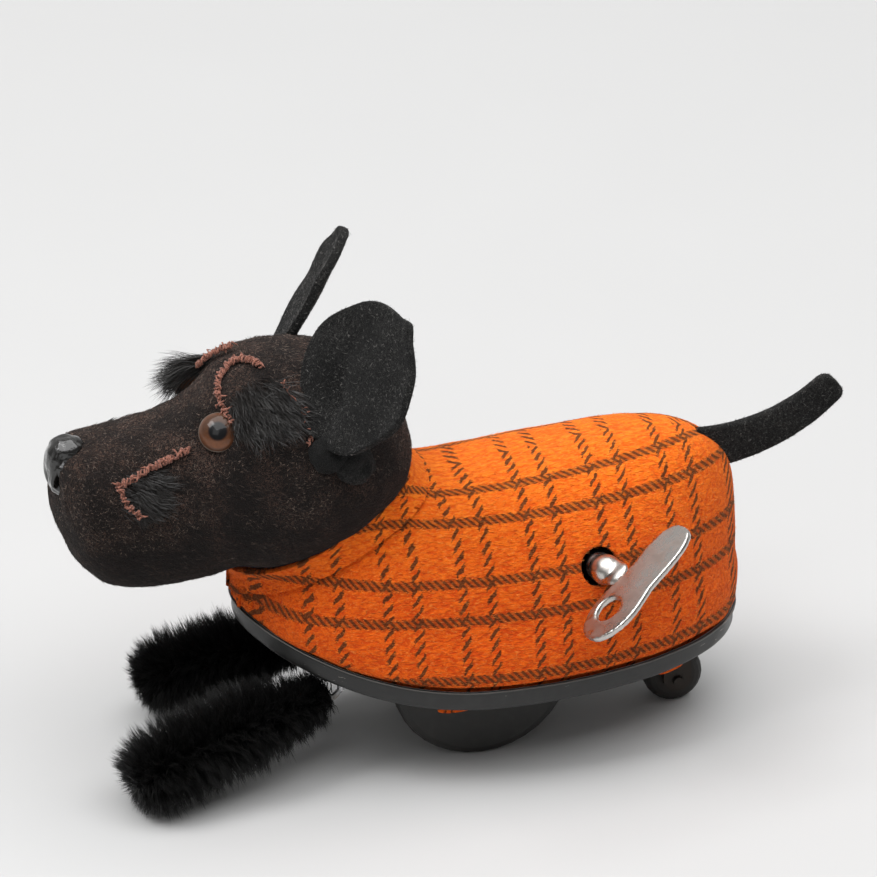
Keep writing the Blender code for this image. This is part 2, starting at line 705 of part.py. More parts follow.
def roller():
    """Rear roller on its pin, between the legs of a strap that hangs through the base."""
    half, edge = ROLLER_W / 2, 1.6
    hole = ROLLER_PIN_R + RUNNING
    quarter = [pi / 2 * i / 3 for i in range(4)]
    round_edge = [(ROLLER_R - edge + edge * sin(a), half - edge + edge * cos(a)) for a in quarter]
    profile = [(hole, half)] + round_edge + [(r, -h) for r, h in reversed(round_edge)] + [(hole, -half)]
    centre = (0, ROLLER_Y, ROLLER_R)
    turned("rear_roller", profile, "wheel_paint", centre, 24)
    pin_half = BRACKET_X + TIN / 2 + 0.7
    place("roller_pin", rod_mesh(ROLLER_PIN_R, 2 * pin_half, 16), "painted_tin", centre)
    top = BASE_Z + TIN + GAP
    wide, high = BRACKET_LONG / 2, top - ROLLER_R + TIN / 2
    leg_outline = [
        (-wide, -0.4), (-wide / 2, -1.9), (wide / 2, -1.9), (wide, -0.4), (wide, high), (-wide, high)]
    leg_mesh = flat_mesh([leg_outline, circle(hole, 16)], TIN)
    strap = place("roller_bracket", leg_mesh, "painted_tin", centre)
    strap.location.x = BRACKET_X * MM
    other = cutter("bracket_leg", strap.data.copy(), (-BRACKET_X, ROLLER_Y, ROLLER_R))
    cut(strap, other, "UNION")
    web = box_mesh((2 * BRACKET_X + TIN - 0.02, BRACKET_LONG - 0.1, TIN), (0, ROLLER_Y, top + TIN / 2))
    cut(strap, cutter("bracket_web", web), "UNION")


# ---------------------------------------------------------------- clockwork

def crossing(p, p_reach, q, q_reach):
    """Point at given distances from p and q, on the left of the way from p to q."""
    way = Vector(q) - Vector(p)
    gap = way.length
    along = (p_reach ** 2 - q_reach ** 2 + gap ** 2) / (2 * gap)
    aside = sqrt(p_reach ** 2 - along ** 2)
    way.normalize()
    return tuple(Vector(p) + way * along + Vector((-way.y, way.x)) * aside)


def centres(teeth, mate_teeth):
    """Distance between the centres of two meshed gears."""
    return MODULE * (teeth + mate_teeth) / 2


THIRD = crossing(DRIVE, centres(THIRD_TEETH, LEAVES), SECOND, centres(SECOND_TEETH, LEAVES))
FLY_REACH = centres(THIRD_TEETH, FLY_LEAVES)
FLY = (THIRD[0] + FLY_REACH * cos(FLY_ANGLE), THIRD[1] + FLY_REACH * sin(FLY_ANGLE))


def gear_loop(teeth, phase):
    """Outline of a gear with slim round-topped teeth, the first one centred on phase."""
    pitch_r = MODULE * teeth / 2
    root, tip = pitch_r - 1.15 * MODULE, pitch_r + 0.85 * MODULE
    step = 2 * pi / teeth
    loop = []
    for i in range(teeth):
        middle = phase + i * step
        for radius, part in ((root, -0.24), (tip, -0.10), (tip, 0.10), (root, 0.24)):
            angle = middle + part * step
            loop.append((radius * cos(angle), radius * sin(angle)))
    return loop


def meshed(centre, teeth, phase, mate_centre, mate_teeth):
    """Phase of a mate whose gaps face this gear's teeth."""
    line = atan2(mate_centre[1] - centre[1], mate_centre[0] - centre[0])
    step, mate_step = 2 * pi / teeth, 2 * pi / mate_teeth
    share = ((line - phase) / step) % 1.0
    return line + pi + (share + 0.5) * mate_step


def gear(name, teeth, phase, x, width, at, bore, slot="brass", spokes=0):
    """A flat gear on an arbor at (y, z), with round lightening holes when spokes is not 0."""
    loops = [gear_loop(teeth, phase), circle(bore + RUNNING / 2, 16)]
    pitch_r = MODULE * teeth / 2
    for i in range(spokes):
        angle = 2 * pi * i / spokes + phase
        middle = (0.58 * pitch_r * cos(angle), 0.58 * pitch_r * sin(angle))
        loops.append(circle(0.2 * pitch_r, 10, middle))
    return place(name, flat_mesh(loops, width), slot, (x, *at))


def arbor(name, at, radius, start, end, pivot_r):
    """A turned arbor whose ends run in the side plates."""
    step = PLATE_X - RUNNING
    profile = [(0, end), (pivot_r, end)]
    if pivot_r < radius:
        profile += [(pivot_r, step), (radius, step), (radius, -step), (pivot_r, -step)]
    profile += [(pivot_r, start), (0, start)]
    return turned(name, profile, "steel", (0, *at), 16)


def plates():
    """Two side plates with inward feet, four pillars and four rivets to the base."""
    low = 11.4
    outline = [
        (-21.0, FOOT_Z[0]), (-16.6, FOOT_Z[0]), (-14.0, low), (13.0, low), (16.8, FOOT_Z[1]),
        (22.4, FOOT_Z[1]), (27.0, 26.0), (27.6, 40.0), (24.6, 44.6), (17.0, 45.6),
        (8.0, 45.2), (-2.0, 44.0), (-13.0, 36.0), (-21.0, 29.0)]
    pivots = [(AXLE_R, DRIVE), (PIVOT_R, SECOND), (PIVOT_R, THIRD), (PIVOT_R, FLY), (WIND_R, WINDING)]
    holes = [circle(r + RUNNING, 16, at) for r, at in pivots]
    holes += [circle(TENON_R + RUNNING, 10, at) for at in PILLARS.values()]
    rivet_holes = [circle(0.7 + RUNNING, 14, CLICK_PIVOT)]
    for side, name in ((1, "left"), (-1, "right")):
        loops = [outline] + holes + (rivet_holes if side > 0 else [])
        centre_x = side * (PLATE_X + TIN / 2)
        plate = place(f"side_plate_{name}", flat_mesh(loops, TIN), "steel", (centre_x, 0, 0))
        for y, z, where in ((FOOT_Y[0], FOOT_Z[0], "front"), (FOOT_Y[1], FOOT_Z[1], "rear")):
            foot = box_mesh((4.6, 3.9, TIN), (side * (PLATE_X - 1.7), y, z + TIN / 2 + 0.01))
            cut(plate, cutter(f"foot_{name}_{where}", foot), "UNION")
            hole = rod_mesh(RIVET_R + RUNNING, 6, 16, Matrix.Identity(4), (side * RIVET_X, y, z))
            cut(plate, cutter(f"foot_hole_{name}_{where}", hole))
            flush = BASE_Z + prow(y) + (GAP if y < 0 else 0)
            rivet(f"foot_rivet_{where}_{name}", (side * RIVET_X, y), z + TIN, flush)
    for label, at in PILLARS.items():
        reach = PLATE_X + TIN + 0.4
        arbor(f"frame_pillar_{label}", at, PILLAR_R, -reach, reach, TENON_R)


def rivet(name, at, top, bottom):
    """Rivet whose flush end fills its hole in the base."""
    head = [(0, top + 0.9), (1.1, top + 0.8), (1.7, top + GAP), (RIVET_R, top + GAP - 0.1)]
    turned(name, head + [(RIVET_R, bottom), (0, bottom)], "steel", (*at, 0), 12, Matrix.Identity(4))


def mainspring():
    """Flat ribbon coiled from the arbor out to a post on the great wheel."""
    turns, per_turn, thick = 5.25, 15, 0.35
    inner, outer = WIND_R + 0.45, 7.4
    count = ceil(turns * per_turn)
    near, far = [], []
    for i in range(count + 1):
        angle = 2 * pi * turns * i / count
        radius = inner + (outer - inner) * i / count
        near.append((radius * cos(angle), radius * sin(angle)))
        far.append(((radius + thick) * cos(angle), (radius + thick) * sin(angle)))
    place("mainspring", flat_mesh([near + far[::-1]], SPRING_W), "spring_steel", (SPRING_X, *WINDING))
    post_r = 8.3
    post_y, post_z = WINDING[0] + post_r * cos(0.5 * pi), WINDING[1] + post_r * sin(0.5 * pi)
    left = GREAT_X - GEAR_T / 2 - RUNNING
    length = left - (SPRING_X - SPRING_W / 2)
    place("spring_post", rod_mesh(0.45, length, 12), "steel", (left - length / 2, post_y, post_z))


def ratchet():
    """Ratchet wheel on the arbor, outside the left plate, with a springy click on a rivet."""
    step = 2 * pi / RATCHET_TEETH
    deep = RATCHET_R - RATCHET_DEPTH
    loop = []
    for i in range(RATCHET_TEETH):
        start = RATCHET_PHASE + i * step
        for radius, part in ((RATCHET_R, 0.0), (deep, 0.07), (deep + RATCHET_DEPTH / 2, 0.5)):
            loop.append((radius * cos(start + part * step), radius * sin(start + part * step)))
    bore = circle(WIND_R + RUNNING / 2, 20)
    place("ratchet_wheel", flat_mesh([loop, bore], GEAR_T), "steel", (RATCHET_X, *WINDING))
    nose = Vector(WINDING) + Vector((RATCHET_R + CLICK_LIFT, 0)) - Vector(CLICK_PIVOT)
    way = nose.normalized()
    side = Vector((-way.y, way.x))
    reach = nose.length
    arm = [
        way * reach, way * (reach - 1.2) + side * 0.8, side * 1.5 + way * 0.6, side * 1.1 - way * 1.2,
        -side * 1.1 - way * 1.2, -side * 1.5 + way * 0.6, way * (reach - 2.2) - side * 0.6,
        way * (reach - 1.0) - side * 0.1]
    loops = [[tuple(p) for p in arm], circle(0.7 + RUNNING, 14)]
    place("ratchet_click", flat_mesh(loops, GEAR_T), "spring_steel", (RATCHET_X, *CLICK_PIVOT))
    end = RATCHET_X + GEAR_T / 2
    profile = [
        (0, end + 1.0), (1.0, end + 0.9), (1.5, end + GAP), (0.7, end + GAP - 0.1), (0.7, PLATE_X - 0.5),
        (0, PLATE_X - 0.5)]
    turned("click_rivet", profile, "steel", (0, *CLICK_PIVOT), 14)


def train():
    """Arbors, wheels and pinions from the mainspring to the drive axle and the fly."""
    great_phase = 0.0
    second_pinion_phase = meshed(WINDING, GREAT_TEETH, great_phase, SECOND, LEAVES)
    third_pinion_phase = meshed(SECOND, SECOND_TEETH, 0.0, THIRD, LEAVES)
    drive_pinion_phase = meshed(THIRD, THIRD_TEETH, 0.0, DRIVE, LEAVES)
    fly_pinion_phase = meshed(THIRD, THIRD_TEETH, 0.0, FLY, FLY_LEAVES)
    gear("great_wheel", GREAT_TEETH, great_phase, GREAT_X, GEAR_T, WINDING, WIND_R)
    gear("second_pinion", LEAVES, second_pinion_phase, GREAT_X, PINION_W, SECOND, ARBOR_R, "steel")
    gear("second_wheel", SECOND_TEETH, 0.0, SECOND_X, GEAR_T, SECOND, ARBOR_R, spokes=5)
    gear("third_pinion", LEAVES, third_pinion_phase, SECOND_X, PINION_W, THIRD, ARBOR_R, "steel")
    gear("third_wheel", THIRD_TEETH, 0.0, THIRD_X, GEAR_T, THIRD, ARBOR_R, spokes=5)
    gear("drive_pinion", LEAVES, drive_pinion_phase, THIRD_X, PINION_W, DRIVE, AXLE_R, "steel")
    gear("fly_pinion", FLY_LEAVES, fly_pinion_phase, THIRD_X, PINION_W, FLY, ARBOR_R, "steel")
    reach = PLATE_X + TIN + 0.3
    arbor("second_arbor", SECOND, ARBOR_R, -reach, reach, PIVOT_R)
    arbor("third_arbor", THIRD, ARBOR_R, -reach, reach, PIVOT_R)
    arbor("fly_arbor", FLY, ARBOR_R, -reach, reach, PIVOT_R)
    bore = ARBOR_R + RUNNING / 2
    fly = [
        (bore, 0.9), (1.9, 0.9), (2.0, 0.4), (FLY_R - 1.2, 0.4), (FLY_R - 1.1, 1.0), (FLY_R, 1.0),
        (FLY_R, -0.6), (bore, -0.6)]
    turned("governor_fly", fly, "brass", (FLY_X, *FLY), 28)
    arbor("winding_arbor", WINDING, WIND_R, -reach, KEY_FOOT[0] + 1.4, WIND_R)


# ---------------------------------------------------------------- key

def key():
    """Winding key: a waisted wing with one finger hole, on a socketed barrel."""
    foot = Vector(KEY_FOOT)
    out = KEY_AXIS
    span = (KEY_SPAN - out * KEY_SPAN.dot(out)).normalized()
    turn = Matrix((span, out, span.cross(out))).transposed().to_4x4()
    barrel_turn = Matrix((span, out.cross(span), out)).transposed().to_4x4()
    half = KEY_LENGTH / 2
    outline = []
    count = 44
    for i in range(count):
        a = 2 * pi * i / count
        along = half * cos(a)
        holed_side = 1.0 * cos(2 * pi * (along - FINGER_HOLE_AT[0]) / KEY_LENGTH) if along < 0 else 0.0
        waist = 0.55 * cos(2 * pi * along / KEY_LENGTH)
        round_end = sin(a) * max(abs(sin(a)), 1e-6) ** -0.3
        outline.append((along, KEY_MIDDLE + (KEY_LOBE + holed_side - waist) * round_end))
    finger_hole = circle(FINGER_HOLE_R, 20, FINGER_HOLE_AT)
    place("key_wing", flat_mesh([outline, finger_hole], KEY_T, turn), "nickel", foot)
    wing_edge = KEY_MIDDLE - KEY_LOBE + 0.55 - GAP
    quarter = [pi / 2 * i / 4 for i in range(5)]
    dome = [(BARREL_R * sin(a), wing_edge - 2.0 * (1 - cos(a))) for a in quarter]
    socket = [(BARREL_R - 0.3, 0), (SOCKET_R, 0), (SOCKET_R, SOCKET_DEEP), (0, SOCKET_DEEP)]
    profile = dome + [(BARREL_R, 0.5)] + socket
    turned("key_barrel", profile, "nickel", foot, 24, barrel_turn)


base()
former()
coat()
collar()
hem_tab()
head()
neck()
tail()
forelegs()
wheels()
roller()
plates()
mainspring()
ratchet()
train()
key()
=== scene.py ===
"""The clockwork terrier's looks: cloth, felt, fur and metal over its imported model."""

import json
import random
from math import cos, exp, pi, radians, sin, sqrt

import bmesh
import bpy
from mathutils import Matrix, Vector, noise


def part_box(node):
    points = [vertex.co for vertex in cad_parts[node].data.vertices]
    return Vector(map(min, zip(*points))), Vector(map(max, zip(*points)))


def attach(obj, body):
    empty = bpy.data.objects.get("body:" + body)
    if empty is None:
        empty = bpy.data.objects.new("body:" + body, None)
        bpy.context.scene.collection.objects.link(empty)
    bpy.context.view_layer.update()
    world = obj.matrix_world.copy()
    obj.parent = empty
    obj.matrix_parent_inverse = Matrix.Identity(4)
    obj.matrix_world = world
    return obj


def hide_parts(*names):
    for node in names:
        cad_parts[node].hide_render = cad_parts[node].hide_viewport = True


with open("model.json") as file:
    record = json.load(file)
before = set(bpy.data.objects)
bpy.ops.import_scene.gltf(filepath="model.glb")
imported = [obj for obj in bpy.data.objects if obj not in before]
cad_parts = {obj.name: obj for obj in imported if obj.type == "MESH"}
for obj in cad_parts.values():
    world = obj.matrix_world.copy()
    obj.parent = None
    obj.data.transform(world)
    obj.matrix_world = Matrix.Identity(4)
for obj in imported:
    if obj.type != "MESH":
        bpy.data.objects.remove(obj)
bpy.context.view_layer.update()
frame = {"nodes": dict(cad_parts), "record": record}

MM = 0.001
BODY = "toy_body"

# The dog's own frame, in millimetres: forward from its middle, left, and up from the floor.
AXLE_Y = 0.6

# The camera looks at the dog's left side, a little from the front and from above.
CAMERA_TURN = radians(15)
CAMERA_RISE = radians(28)
CAMERA_REACH = 2.5
CAMERA_WIDTH = 0.1474                # what it sees across, at the dog
CAMERA_AIM = (3.8, 0.0, 54.6)

# The body's surfaces, as the CAD part has them.
BASE_Y = 4.0
BASE_HALF_LENGTH = 43.5
BASE_HALF_WIDTH = 24.3
BASE_Z = 14.7
TIN = 0.8
RIM = 3.6
PROW_LIFT = 10.7
WINDOW = (28.6, 35.4)                # opening in the base's floor, across and along
TRAY_SHEET = 0.55
HEM_SHEET = 0.8
HEM_FLAPS = (                        # name, CAD nodes, forward, left and up, width and length, and fall
    ("hem_flap", ["coat_hem_tab"], (-31.8, 13.2, 14.1), (4.6, 7.4), 1.5),
    ("hem_sliver", [], (5.4, 19.7, 14.3), (1.6, 7.4), 0.25),
)
COAT_SHEET = 0.96                    # of the cloth itself, without its nap
COAT_INSET = TIN + 0.6
COAT_LIFT = 0.6
ARCH_POWER = 2.4
END_POWER = 7.5
COAT_SWELL = 0.045
RIM_OVERHANG = 1.9                   # how far the cloth bulges over the rim
RIDGE_Z = 49.6
RUMP_RISE = 3.2
NAPE_RISE = 2.6
COLLAR_Y = -23.4
COLLAR_Z = 43.0
COLLAR_TILT = radians(29.4)
COLLAR_W = 4.4
COLLAR_RISE = 2.4                    # of its edge over the collar plane, up the head
COLLAR_T = 0.9
HUG_REACH = 9.0                      # how far below the collar plane the coat is drawn in to the neck
CHEST_SEAM = (39.4, 3.0, 31.5, 9.0)  # forward, left, up and length
NECK_DEPTH = 3.0
NECK_TUCK = 0.15
NECK_BLEND = 8.0
KEY_HOLE_R = 3.4
KEY_AXIS = (0.94, 0.29, 0.17)
KEY_SPAN = (-0.357, 0.743, 0.567)
KEY_BOSS = (2.65, 3.0)               # radius and half length of the rounded root of the wing
KEY_PINCH = 0.62                     # share of its thickness that the barrel loses at the wing
KEY_BOSS_OUT = -0.7                  # of its middle, beyond the barrel's
KEY_SOCKET = (1.95, 3.0, 3.94)       # radius and depth, and from the barrel's mouth to its middle
KEY_GRAIN = 0.22                     # of the mesh that makes the wing and the barrel one

# The plaid: dashed lines in pairs, along the coat and over it.
LENGTHWISE = (15.7, 22.2, 16.9)      # first and second line of a pair, and from pair to pair
CROSSWISE = (16.7, 12.0, 12.1)
DASH_PITCH = 1.2
TICK_PITCH = 2.1
TICK_SLANT = 1.2

# The head: forward, top, bottom and half width of its sections.
HEAD_SECTIONS = (
    (8.6, 55.0, 46.0, 5.0),
    (11.5, 63.5, 42.0, 10.5),
    (16.0, 69.6, 40.0, 14.2),
    (22.0, 73.6, 37.0, 16.6),
    (29.0, 75.4, 34.5, 17.6),
    (36.0, 75.2, 35.6, 17.2),
    (41.0, 73.4, 37.0, 16.0),
    (45.5, 69.0, 36.0, 14.4),
    (50.0, 66.0, 35.5, 13.2),
    (56.0, 64.4, 35.4, 12.6),
    (62.0, 63.2, 37.1, 12.2),
    (66.5, 62.3, 40.9, 11.2),
    (68.6, 61.4, 44.5, 9.3),
    (70.0, 59.8, 48.0, 6.4),
)
HEAD_POWER = 2.2
EYE_R = 3.35
EYE_DEPTH = 2.4
EYE_HOLLOW = (0.9, 2.5, 2.4)         # depth, distance from the eye's middle, and width
GAZE = (0.24, 0.80, 0.55)
EARS = {                             # middle and normal
    "left": ((21.2, 16.2, 74.8), (0.80, 0.44, 0.41)),
    "right": ((22.2, 16.2, 75.6), (0.82, 0.34, 0.46)),
}
EAR_CORNER = 52
EAR_UP = (-0.296, -0.305, 0.905)
EAR_HALF = (11.0, 14.6)
EAR_T = 1.5
EAR_LOBES = (                        # name, forward, left and up, radii, and turn on the skin
    ("ear_lobe_front", (27.0, 16.2, 63.6), (3.6, 1.9, 3.4), 0.5),
    ("ear_lobe_rear", (22.6, 16.6, 60.6), (3.8, 1.8, 3.2), -0.3),
)

# Tail, forelegs
TAIL_ROOT = (-41.6, 46.4)
TAIL_BEND = (-55.0, 46.6)
TAIL_TIP = (-64.2, 54.8)
TAIL_HALF = (3.9, 2.9)
TAIL_T = 2.2
LEG_R = 7.8
LEG_NECK = 0.63
LEG_FRINGE = {"left": 1.22, "right": 1.12}    # how far bristles stand beyond the CAD leg
LEG_ROOT = (27.6, 9.7, 13.2)
LEG_TIPS = {"left": (56.0, 17.0, 7.85), "right": (46.5, -15.3, 7.85)}

# Routes of the frayed threads and of the far brow's fur, on the head
BROW_TOP = ((43.0, 5.9, 70.8), (42.4, 3.0, 72.8), (40.0, 1.2, 74.6), (37.6, 2.0, 75.2), (35.6, 4.6, 74.5))
BROW_REAR = ((33.4, 8.4, 73.1), (31.0, 12.4, 70.1), (29.5, 14.5, 67.2), (30.6, 15.4, 65.2))
BROW_LOOP = ((43.0, 6.0, 70.8), (43.4, 7.9, 70.0), (42.9, 9.6, 69.2), (42.2, 10.8, 68.5))
BROW_FAR = ((43.8, -5.6, 70.6), (42.0, -4.6, 73.0), (40.0, -3.6, 75.0), (39.0, -3.2, 75.4))
BROW_FAR_FUR = ((42.0, -6.5, 72.0), (44.0, -8.0, 70.0), (44.0, -10.0, 68.0), (42.0, -12.5, 66.0))
MOUSTACHE_TOP = ((49.0, 8.9, 63.2), (52.5, 8.9, 61.8), (56.0, 9.0, 60.5), (61.7, 9.8, 58.5))
MOUSTACHE_FRONT = ((61.7, 9.8, 58.5), (60.4, 11.4, 55.7), (58.5, 12.0, 53.8))

# Short fibres: how many, their length, lean from the surface's normal, and width
HEAD_LINT = (17000, 1.0, 1.42, 0.060)
HEAD_NAP = (9000, 1.5, 1.42, 0.060)
COAT_LINT = (11000, 1.0, 1.30, 0.05)
TAIL_LINT = (4500, 0.7, 1.25, 0.07)
EAR_LINT = (7000, 0.8, 1.35, 0.07)

# Long hairs: how many, and their length and width where one number serves them all
BROW_HAIRS = 3400
MOUSTACHE_HAIRS = 1800
MOUSTACHE_REACH = 3.4
MOHAIR_W = 0.10
FRINGE_HAIRS = 2200
FRINGE_REACH = 9.5
FRINGE_W = 0.11
CLUMPS = 2100     # of bristles, on each foreleg
CLUMP_BRISTLES = 11
BRISTLE_W = 0.21
LEG_WIRE_R = 0.3
SEAM_R = 0.42

# Light
FLOOR_DARK = (0.545, 0.545, 0.545)
FLOOR_PALE = (0.560, 0.560, 0.560)
WORLD_NEAR = 0.17
WORLD_FAR = 0.55
SOFT_BOXES = (                       # name, place, height of the aim, size across and power
    ("top_box", (0.14, 0.03, 1.15), 0.03, 1.5, 19.8),
    ("nose_box", (0.05, -0.75, 1.10), 0.03, 0.55, 6.5),
    ("front_box", (0.8, -0.5, 0.7), 0.04, 0.5, 0.8),
)


def home():
    """The dog frame's origin in the world: midway between the wheels, beside the drive axle."""
    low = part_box("drive_wheel_right")
    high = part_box("drive_wheel_left")
    middle = (Vector(low[0]) + Vector(high[1])) / 2
    return Vector((middle.x, middle.y - AXLE_Y * MM, 0))


HOME = home()


def at(forward, left, up):
    """A place in the world from the dog's own millimetres."""
    return HOME + Vector((left, -forward, up)) * MM


def way(forward, left, up):
    """A unit direction in the world from the dog's own."""
    return Vector((left, -forward, up)).normalized()


def smooth(t):
    """Ease from 0 to 1."""
    t = min(1.0, max(0.0, t))
    return t * t * (3 - 2 * t)


def signed(value, power):
    """The size of value to a power, with value's own sign."""
    return (1 if value > 0 else -1) * abs(value) ** power


def bell(distance, width):
    """1 at no distance, falling to 0 past width."""
    return exp(-((distance / width) ** 2))


def jitter(rng, size):
    """A random vector."""
    return Vector([rng.gauss(0, size) for _ in range(3)])


def bent(root, bend, tip, t):
    """A point on the curve that leaves root for bend and comes to tip."""
    return root * (1 - t) ** 2 + bend * 2 * t * (1 - t) + tip * t * t


def extent(node):
    """Middle and half size of a CAD node's box."""
    low, high = (Vector(corner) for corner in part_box(node))
    return (low + high) / 2, (high - low) / 2


def posed(point, direction):
    """The move that takes the origin to a point and Z to a direction."""
    return Matrix.Translation(point) @ direction.to_track_quat("Z", "Y").to_matrix().to_4x4()


def level(direction, normal):
    """A direction turned to lie along a surface."""
    return (direction - normal * direction.dot(normal)).normalized()


def link(obj):
    """Put an object in the scene."""
    bpy.context.scene.collection.objects.link(obj)
    return obj


# ---------------------------------------------------------------- materials

class Shade:
    """One material's node graph. Sizes in it are in millimetres."""

    def __init__(self, name, **sockets):
        self.material = bpy.data.materials.new(name)
        self.material.use_nodes = True
        self.nodes = self.material.node_tree.nodes
        self.links = self.material.node_tree.links
        self.shader = self.nodes["Principled BSDF"]
        for socket, value in sockets.items():
            self.shader.inputs[socket.replace("_", " ")].default_value = value
        coordinates = self.nodes.new("ShaderNodeTexCoord")
        self.uv = coordinates.outputs["UV"]
        self.place = self.mapped(coordinates.outputs["Object"], (1 / MM, 1 / MM, 1 / MM))

    def put(self, node, socket, value):
        """Link value into a node's socket, or set it there."""
        if isinstance(value, bpy.types.NodeSocket):
            self.links.new(value, node.inputs[socket])
        else:
            node.inputs[socket].default_value = value

    def set(self, socket, value):
        """Drive one of the shader's own sockets."""
        self.put(self.shader, socket, value)

    def mapped(self, vector, scale):
        """vector scaled along its axes."""
        node = self.nodes.new("ShaderNodeMapping")
        self.put(node, "Vector", vector)
        node.inputs["Scale"].default_value = scale
        return node.outputs["Vector"]

    def math(self, operation, a, b=0.0, c=0.0):
        """One sum."""
        node = self.nodes.new("ShaderNodeMath")
        node.operation = operation
        for i, value in enumerate((a, b, c)):
            self.put(node, i, value)
        return node.outputs[0]

    def noise(self, size, detail=3.0, stretch=(1, 1, 1), distortion=0.0):
        """Noise whose blobs are size millimetres, longer along an axis where stretch is under 1."""
        node = self.nodes.new("ShaderNodeTexNoise")
        self.put(node, "Vector", self.mapped(self.place, stretch))
        node.inputs["Scale"].default_value = 1 / size
        node.inputs["Detail"].default_value = detail
        node.inputs["Distortion"].default_value = distortion
        return node.outputs["Fac"]

    def range(self, value, low, high, to_low=0.0, to_high=1.0):
        """value taken from one range to another, eased and clamped."""
        node = self.nodes.new("ShaderNodeMapRange")
        node.interpolation_type = "SMOOTHSTEP"
        for i, number in enumerate((value, low, high, to_low, to_high)):
            self.put(node, i, number)
        return node.outputs[0]

    def mix(self, share, a, b):
        """Colour a turning to b as share goes to 1."""
        node = self.nodes.new("ShaderNodeMix")
        node.data_type = "RGBA"
        self.put(node, "Factor", share)
        self.put(node, 6, (*a, 1) if isinstance(a, tuple) else a)
        self.put(node, 7, (*b, 1) if isinstance(b, tuple) else b)
        return node.outputs[2]

    def bump(self, height, depth, strength=1.0):
        """Relief whose height is depth millimetres."""
        node = self.nodes.new("ShaderNodeBump")
        node.inputs["Strength"].default_value = strength
        node.inputs["Distance"].default_value = depth * MM
        self.put(node, "Height", height)
        previous = self.shader.inputs["Normal"].links
        if previous:
            self.links.new(previous[0].from_socket, node.inputs["Normal"])
        self.set("Normal", node.outputs["Normal"])

    def geometry(self, output):
        """Something about the surface itself, such as its normal."""
        return self.nodes.new("ShaderNodeNewGeometry").outputs[output]

    def apart(self, vector):
        """A vector's X, Y and Z."""
        node = self.nodes.new("ShaderNodeSeparateXYZ")
        self.put(node, 0, vector)
        return node.outputs

    def vector(self, operation, a, b=(0, 0, 0)):
        """One sum on vectors."""
        node = self.nodes.new("ShaderNodeVectorMath")
        node.operation = operation
        self.put(node, 0, a)
        self.put(node, 1, b)
        return node.outputs


def felt(name, dark, light, fibre=0.32, worn=0.7, top_light=0.0):
    """Pressed or brushed wool: matted fibres that lie all ways, rubbed paler in patches, with painted light
    that makes faces turned up paler as far as top_light says.
    """
    shade = Shade(
        name, Roughness=0.95, Sheen_Weight=0.12, Sheen_Roughness=0.5,
        Sheen_Tint=(*[0.4 + c for c in light], 1), Specular_IOR_Level=0.15)
    matted = shade.noise(fibre, 6, distortion=1.4)
    fine = shade.noise(fibre * 0.4, 4, distortion=0.8)
    lumps = shade.noise(1.3, 4)
    wear_and_top_light = shade.range(shade.noise(6.0, 5), 0.38, 0.66, 1 - worn, 1.0)
    # Painted light: the pale patches are kept on faces turned up and faded out on faces turned down, as if
    # lit from above.
    slope = shade.apart(shade.geometry("Normal"))["Z"]
    wear_and_top_light = shade.math("MULTIPLY", wear_and_top_light, shade.range(slope, -0.5, 0.7, 1 - top_light, 1.0))
    fibres = shade.range(shade.math("MULTIPLY_ADD", fine, 0.5, matted), 0.69, 0.99)
    matt = shade.mix(shade.math("MULTIPLY", fibres, wear_and_top_light), dark, light)
    flecks = shade.math("MULTIPLY", shade.range(shade.noise(0.22, 5, distortion=2.2), 0.62, 0.72), wear_and_top_light)
    shade.set("Base Color", shade.mix(flecks, matt, tuple(c * 2.6 + 0.02 for c in light)))
    shade.bump(lumps, 0.7)
    shade.bump(matted, 0.6)
    shade.bump(fine, 0.2)
    return shade.material


